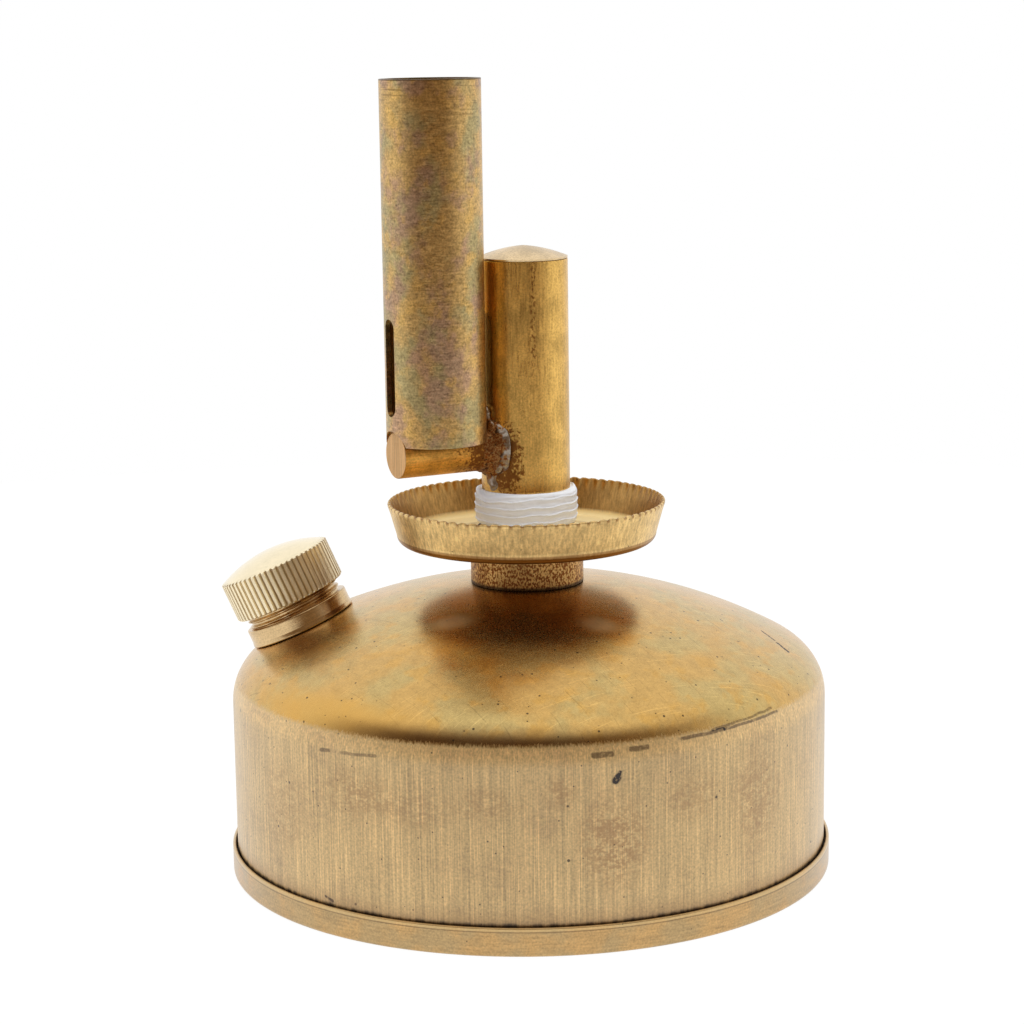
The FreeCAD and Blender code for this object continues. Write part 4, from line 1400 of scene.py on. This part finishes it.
class BURNER_OT_tape(bpy.types.Operator):
    """Make the seal tape wound round the vaporiser's foot"""

    bl_idname = "burner.tape"
    bl_label = "Seal tape"

    def execute(self, context):
        sizes = context.scene.burner.head
        colours = context.scene.burner.colours
        low = sizes.tape_low
        high = sizes.tape_high
        clearance = 0.02 * MM
        outer_layer = 0.5 * MM
        inner = sizes.vaporiser_radius + clearance
        core = sizes.tape_radius - outer_layer
        edge = 0.55 * MM
        steps = 8
        outline = [(inner, low)]
        outline += rounded((core, low, edge), (core, high, edge), (inner, high, 0), (inner, low, 0),
                           steps=steps)[:steps + 1]
        outline += rows((core, low + edge), (core, high - edge), spacing=0.09 * MM)[1:]
        outline += arc((core - edge, high - edge), edge, 0, math.pi / 2, steps)
        outline += [(inner, high)]
        pitch = (high - low) / (sizes.tape_loops + 0.5)
        middle = (high + low) / 2
        drip = sizes.turned + math.radians(9)
        drip_width = 0.35
        drip_depth = 0.9 * MM
        wander_waves = 2.4
        wander_height = 0.35 * MM
        lap_lift = 0.2 * MM
        lap_power = 3
        fold_waves = 2.5
        fold_height = 0.5 * MM
        fold_lift = 0.05 * MM
        crease_waves = 4
        crease_height = 1.1 * MM
        crease_lift = 0.05 * MM
        crease_power = 6
        crease_seed = 3
        bulge_lift = 0.22 * MM
        end_slope = 4
        sway_waves = 1.7
        sway_seed = Vector((5, 0, 0))
        sway_height = 0.4 * MM

        def wound(radius, height, turn):
            if radius < core - edge * 0.9:
                return radius, height
            ring = Vector((math.cos(turn), math.sin(turn), 0))
            wander = noise.noise(ring * wander_waves) * wander_height
            lap = (((height + wander - low) / pitch - turn / FULL_TURN) % 1) ** lap_power
            folds = noise.noise(ring * fold_waves + Vector((0, 0, height / fold_height)))
            valley = noise.noise(ring * crease_waves + Vector((0, 0, height / crease_height + crease_seed)))
            crease = (1 - abs(valley)) ** crease_power
            share = 1 - abs(height - middle) / (middle - low)
            lift = (lap_lift * lap + fold_lift * folds + crease_lift * crease) * min(1, share * end_slope)
            bulge = bulge_lift * math.sin(math.pi * min(1, max(0, share)) / 2)
            upper = max(0, (height - middle) / (high - middle))
            apart = math.remainder(turn - drip, FULL_TURN)
            dip = drip_depth * math.exp(-(apart / drip_width) ** 2) * upper
            sway = sway_height * noise.noise(ring * sway_waves + sway_seed) * abs(2 * upper - 0.5)
            return radius + lift + bulge, height + sway - dip

        piece = smooth(turned("tape", outline, segments=320, ripple=wound), sharp_degrees=80)
        shader = finish("seal_tape_white")
        film = shader.clouds(0.8 * MM, level(3), seed=3)
        tint = shader.shade(colours.tape, 0.9 + film * 0.2)
        look = shader.surface(tint, 0.28 + film * 0.2, metallic=0.0, height=film, depth=0.04 * MM,
                              constants={"Subsurface Weight": 0.25, "Subsurface Radius": (0.5 * MM,) * 3})
        fit(piece, "head", "seal_tape_white", look, "tape_core", "seal_tape")
        return {"FINISHED"}


class BURNER_OT_wick(bpy.types.Operator):
    """Make the twisted cotton strands of the wick"""

    bl_idname = "burner.wick"
    bl_label = "Wick"

    def execute(self, context):
        sizes = context.scene.burner.head
        colours = context.scene.burner.colours
        spacing = 2.8 * MM
        splay_start = 38 * MM
        splay = math.tan(math.radians(20))
        bend = 14 * MM
        steps = 120
        plies = 3
        groove = 0.1
        twist = 14 * FULL_TURN
        drop = sizes.wick_top - sizes.wick_low - 0.5 * sizes.strand
        shape = bmesh.new()

        def twisted(share, turn):
            return sizes.strand * (1 - groove + groove * math.cos(plies * (turn + twist * share)))

        for strand in range(sizes.strands + 1):
            turn = FULL_TURN * strand / sizes.strands
            away = Vector((math.cos(turn), math.sin(turn), 0)) * (0 if strand == sizes.strands else 1)
            path = []
            for step in range(steps + 1):
                height = sizes.wick_top - drop * step / steps
                below = max(0, splay_start - height)
                out = splay * (below ** 2 / (2 * bend) if below < bend else below - bend / 2)
                path.append(away * (spacing + out) + Vector((0, 0, height)))
            swept(shape, path, twisted, segments=24)
        piece = smooth(new_piece("wick_strands", shape))
        shader = finish("wick_cotton")
        fibres = shader.clouds(0.2 * MM, upright(8), seed=5)
        tint = shader.shade(colours.cotton, 0.75 + fibres * 0.5)
        look = shader.surface(tint, roughness=0.9, metallic=0.0, height=fibres, depth=0.1 * MM)
        fit(piece, "wick_bundle", "wick_cotton", look, "wick")
        return {"FINISHED"}


class BURNER_OT_fittings(bpy.types.Operator):
    """Finish the solder seams, gasket, threaded foot and jet"""

    bl_idname = "burner.fittings"
    bl_label = "Seams and inner fittings"

    def execute(self, context):
        colours = context.scene.burner.colours
        dress(plain_brass("soft_solder", colours.solder, roughness=0.5, dark=0.5, seed=100),
              "base_solder", "boss_solder", "tray_solder", "neck_solder")
        dress(plain_brass("foot_brass", colours.burner, roughness=0.3, dark=0.7, stretch=level(8), seed=110),
              "threaded_foot")
        dress(plain_brass("jet_brass", colours.cap, roughness=0.28, dark=0.7, stretch=level(8), seed=120),
              "jet_nozzle")
        shader = finish("gasket_rubber")
        dust = shader.clouds(0.6 * MM, detail=3, seed=7)
        tint = shader.shade(colours.rubber, 0.6 + dust * 0.8)
        rubber = shader.surface(tint, 0.6 + dust * 0.2, metallic=0.0, height=dust, depth=0.02 * MM)
        dress(rubber, "cap_gasket")
        return {"FINISHED"}


class BURNER_OT_stage(bpy.types.Operator):
    """Make the floor, the light and the camera"""

    bl_idname = "burner.stage"
    bl_label = "Studio"

    def execute(self, context):
        studio = context.scene.burner.studio
        context.scene.view_settings.view_transform = "Standard"
        self.make_camera(context, studio)
        self.make_floor(studio)
        self.make_world(context, studio)
        self.make_lamp(context, studio)
        return {"FINISHED"}

    def make_camera(self, context, studio):
        """Camera at the eye, looking a little down."""
        camera = bpy.data.cameras.new("camera")
        camera.lens = studio.lens
        camera.sensor_width = 36
        camera.clip_start = 0.01
        eye = bpy.data.objects.new("camera", camera)
        eye.matrix_world = (Matrix.Translation(studio.eye)
                            @ Matrix.Rotation(studio.pan, 4, "Z")
                            @ Matrix.Rotation(math.pi / 2 - studio.tilt, 4, "X")
                            @ Matrix.Rotation(studio.roll, 4, "Z"))
        context.scene.collection.objects.link(eye)
        context.scene.camera = eye

    def make_floor(self, studio):
        """Round white floor that keeps a faint shadow."""
        shape = bmesh.new()
        bmesh.ops.create_circle(shape, cap_ends=True, radius=studio.floor_radius, segments=96)
        floor = new_piece("floor", shape)
        shader = finish("white_paper")
        fibre = 0.99 + shader.clouds(2 * MM) * 0.02
        paper = shader.node("ShaderNodeBsdfDiffuse", None, {"Color": shader.shade(studio.paper, fibre)})
        glow = shader.node("ShaderNodeEmission", None, {"Color": (1, 1, 1, 1), "Strength": studio.glow})
        share = self.seen(shader) * studio.glow_share
        body = shader.node("ShaderNodeMixShader", None, {0: share, 1: paper, 2: glow})
        shader.node("ShaderNodeOutputMaterial", None, {"Surface": body})
        floor.data.materials.append(shader.owner)

    def seen(self, shader):
        """1 for rays from the camera, from a mirror or through glass, else 0."""
        camera, glossy, clear = (shader.node("ShaderNodeLightPath", output=f"Is {kind} Ray")
                                 for kind in ("Camera", "Glossy", "Transmission"))
        return (camera + glossy + clear).clamped()

    def make_world(self, context, studio):
        """White all round, but for a dark room on the camera's side that only mirrors see."""
        world = bpy.data.worlds.new("studio")
        context.scene.world = world
        shader = Shader(world)
        direction = shader.node("ShaderNodeTexCoord", output="Generated")
        toward = (math.sin(studio.pan), -math.cos(studio.pan), 0)
        facing = shader.vector("DOT_PRODUCT", direction, toward, "Value")
        up = shader.parts(direction)[2]
        lean = 0.45
        fade_in = (0.0, 0.9)
        fade_out = (0.62, 0.85)
        front = shader.step(facing + up * lean, *fade_in) * (1 - shader.step(up, *fade_out))
        glossy = shader.node("ShaderNodeLightPath", output="Is Glossy Ray")
        tint = shader.mix(glossy * front, (1, 1, 1), studio.room)
        strength = studio.fill + self.seen(shader) * (1 - studio.fill)
        light = shader.node("ShaderNodeBackground", None, {"Color": tint, "Strength": strength})
        shader.node("ShaderNodeOutputWorld", None, {"Surface": light})

    def make_lamp(self, context, studio):
        """Wide lamp overhead that mirrors don't see."""
        lamp = bpy.data.lights.new("overhead", "AREA")
        lamp.shape = "DISK"
        lamp.size = studio.lamp_size
        lamp.energy = studio.lamp_watts
        place = bpy.data.objects.new("overhead", lamp)
        place.location = studio.lamp_place
        place.visible_glossy = False
        context.scene.collection.objects.link(place)


class BURNER_PT_panel(bpy.types.Panel):
    """List of the burner's pieces"""

    bl_idname = "BURNER_PT_panel"
    bl_label = "Spirit burner"
    bl_space_type = "VIEW_3D"
    bl_region_type = "UI"
    bl_category = "Burner"

    def draw(self, context):
        for operator in OPERATORS:
            self.layout.operator(operator.bl_idname)


OPERATORS = (
    BURNER_OT_tank, BURNER_OT_pan, BURNER_OT_boss, BURNER_OT_tray, BURNER_OT_neck, BURNER_OT_cap,
    BURNER_OT_vaporiser, BURNER_OT_arm, BURNER_OT_burner, BURNER_OT_braze, BURNER_OT_tape, BURNER_OT_wick,
    BURNER_OT_fittings, BURNER_OT_stage,
)
GROUPS = (TankSizes, TraySizes, FillerSizes, HeadSizes, BrassColours, StudioSettings, BurnerSettings)


def register():
    for kind in GROUPS + OPERATORS + (BURNER_PT_panel,):
        bpy.utils.register_class(kind)
    bpy.types.Scene.burner = held(BurnerSettings, "Burner", "Sizes, colours and studio of the burner")


def unregister():
    del bpy.types.Scene.burner
    for kind in reversed(GROUPS + OPERATORS + (BURNER_PT_panel,)):
        bpy.utils.unregister_class(kind)


def main():
    """Build everything."""
    register()
    for operator in OPERATORS:
        name = operator.bl_idname.split(".")[1]
        getattr(bpy.ops.burner, name)()


if __name__ == "__main__":
    main()
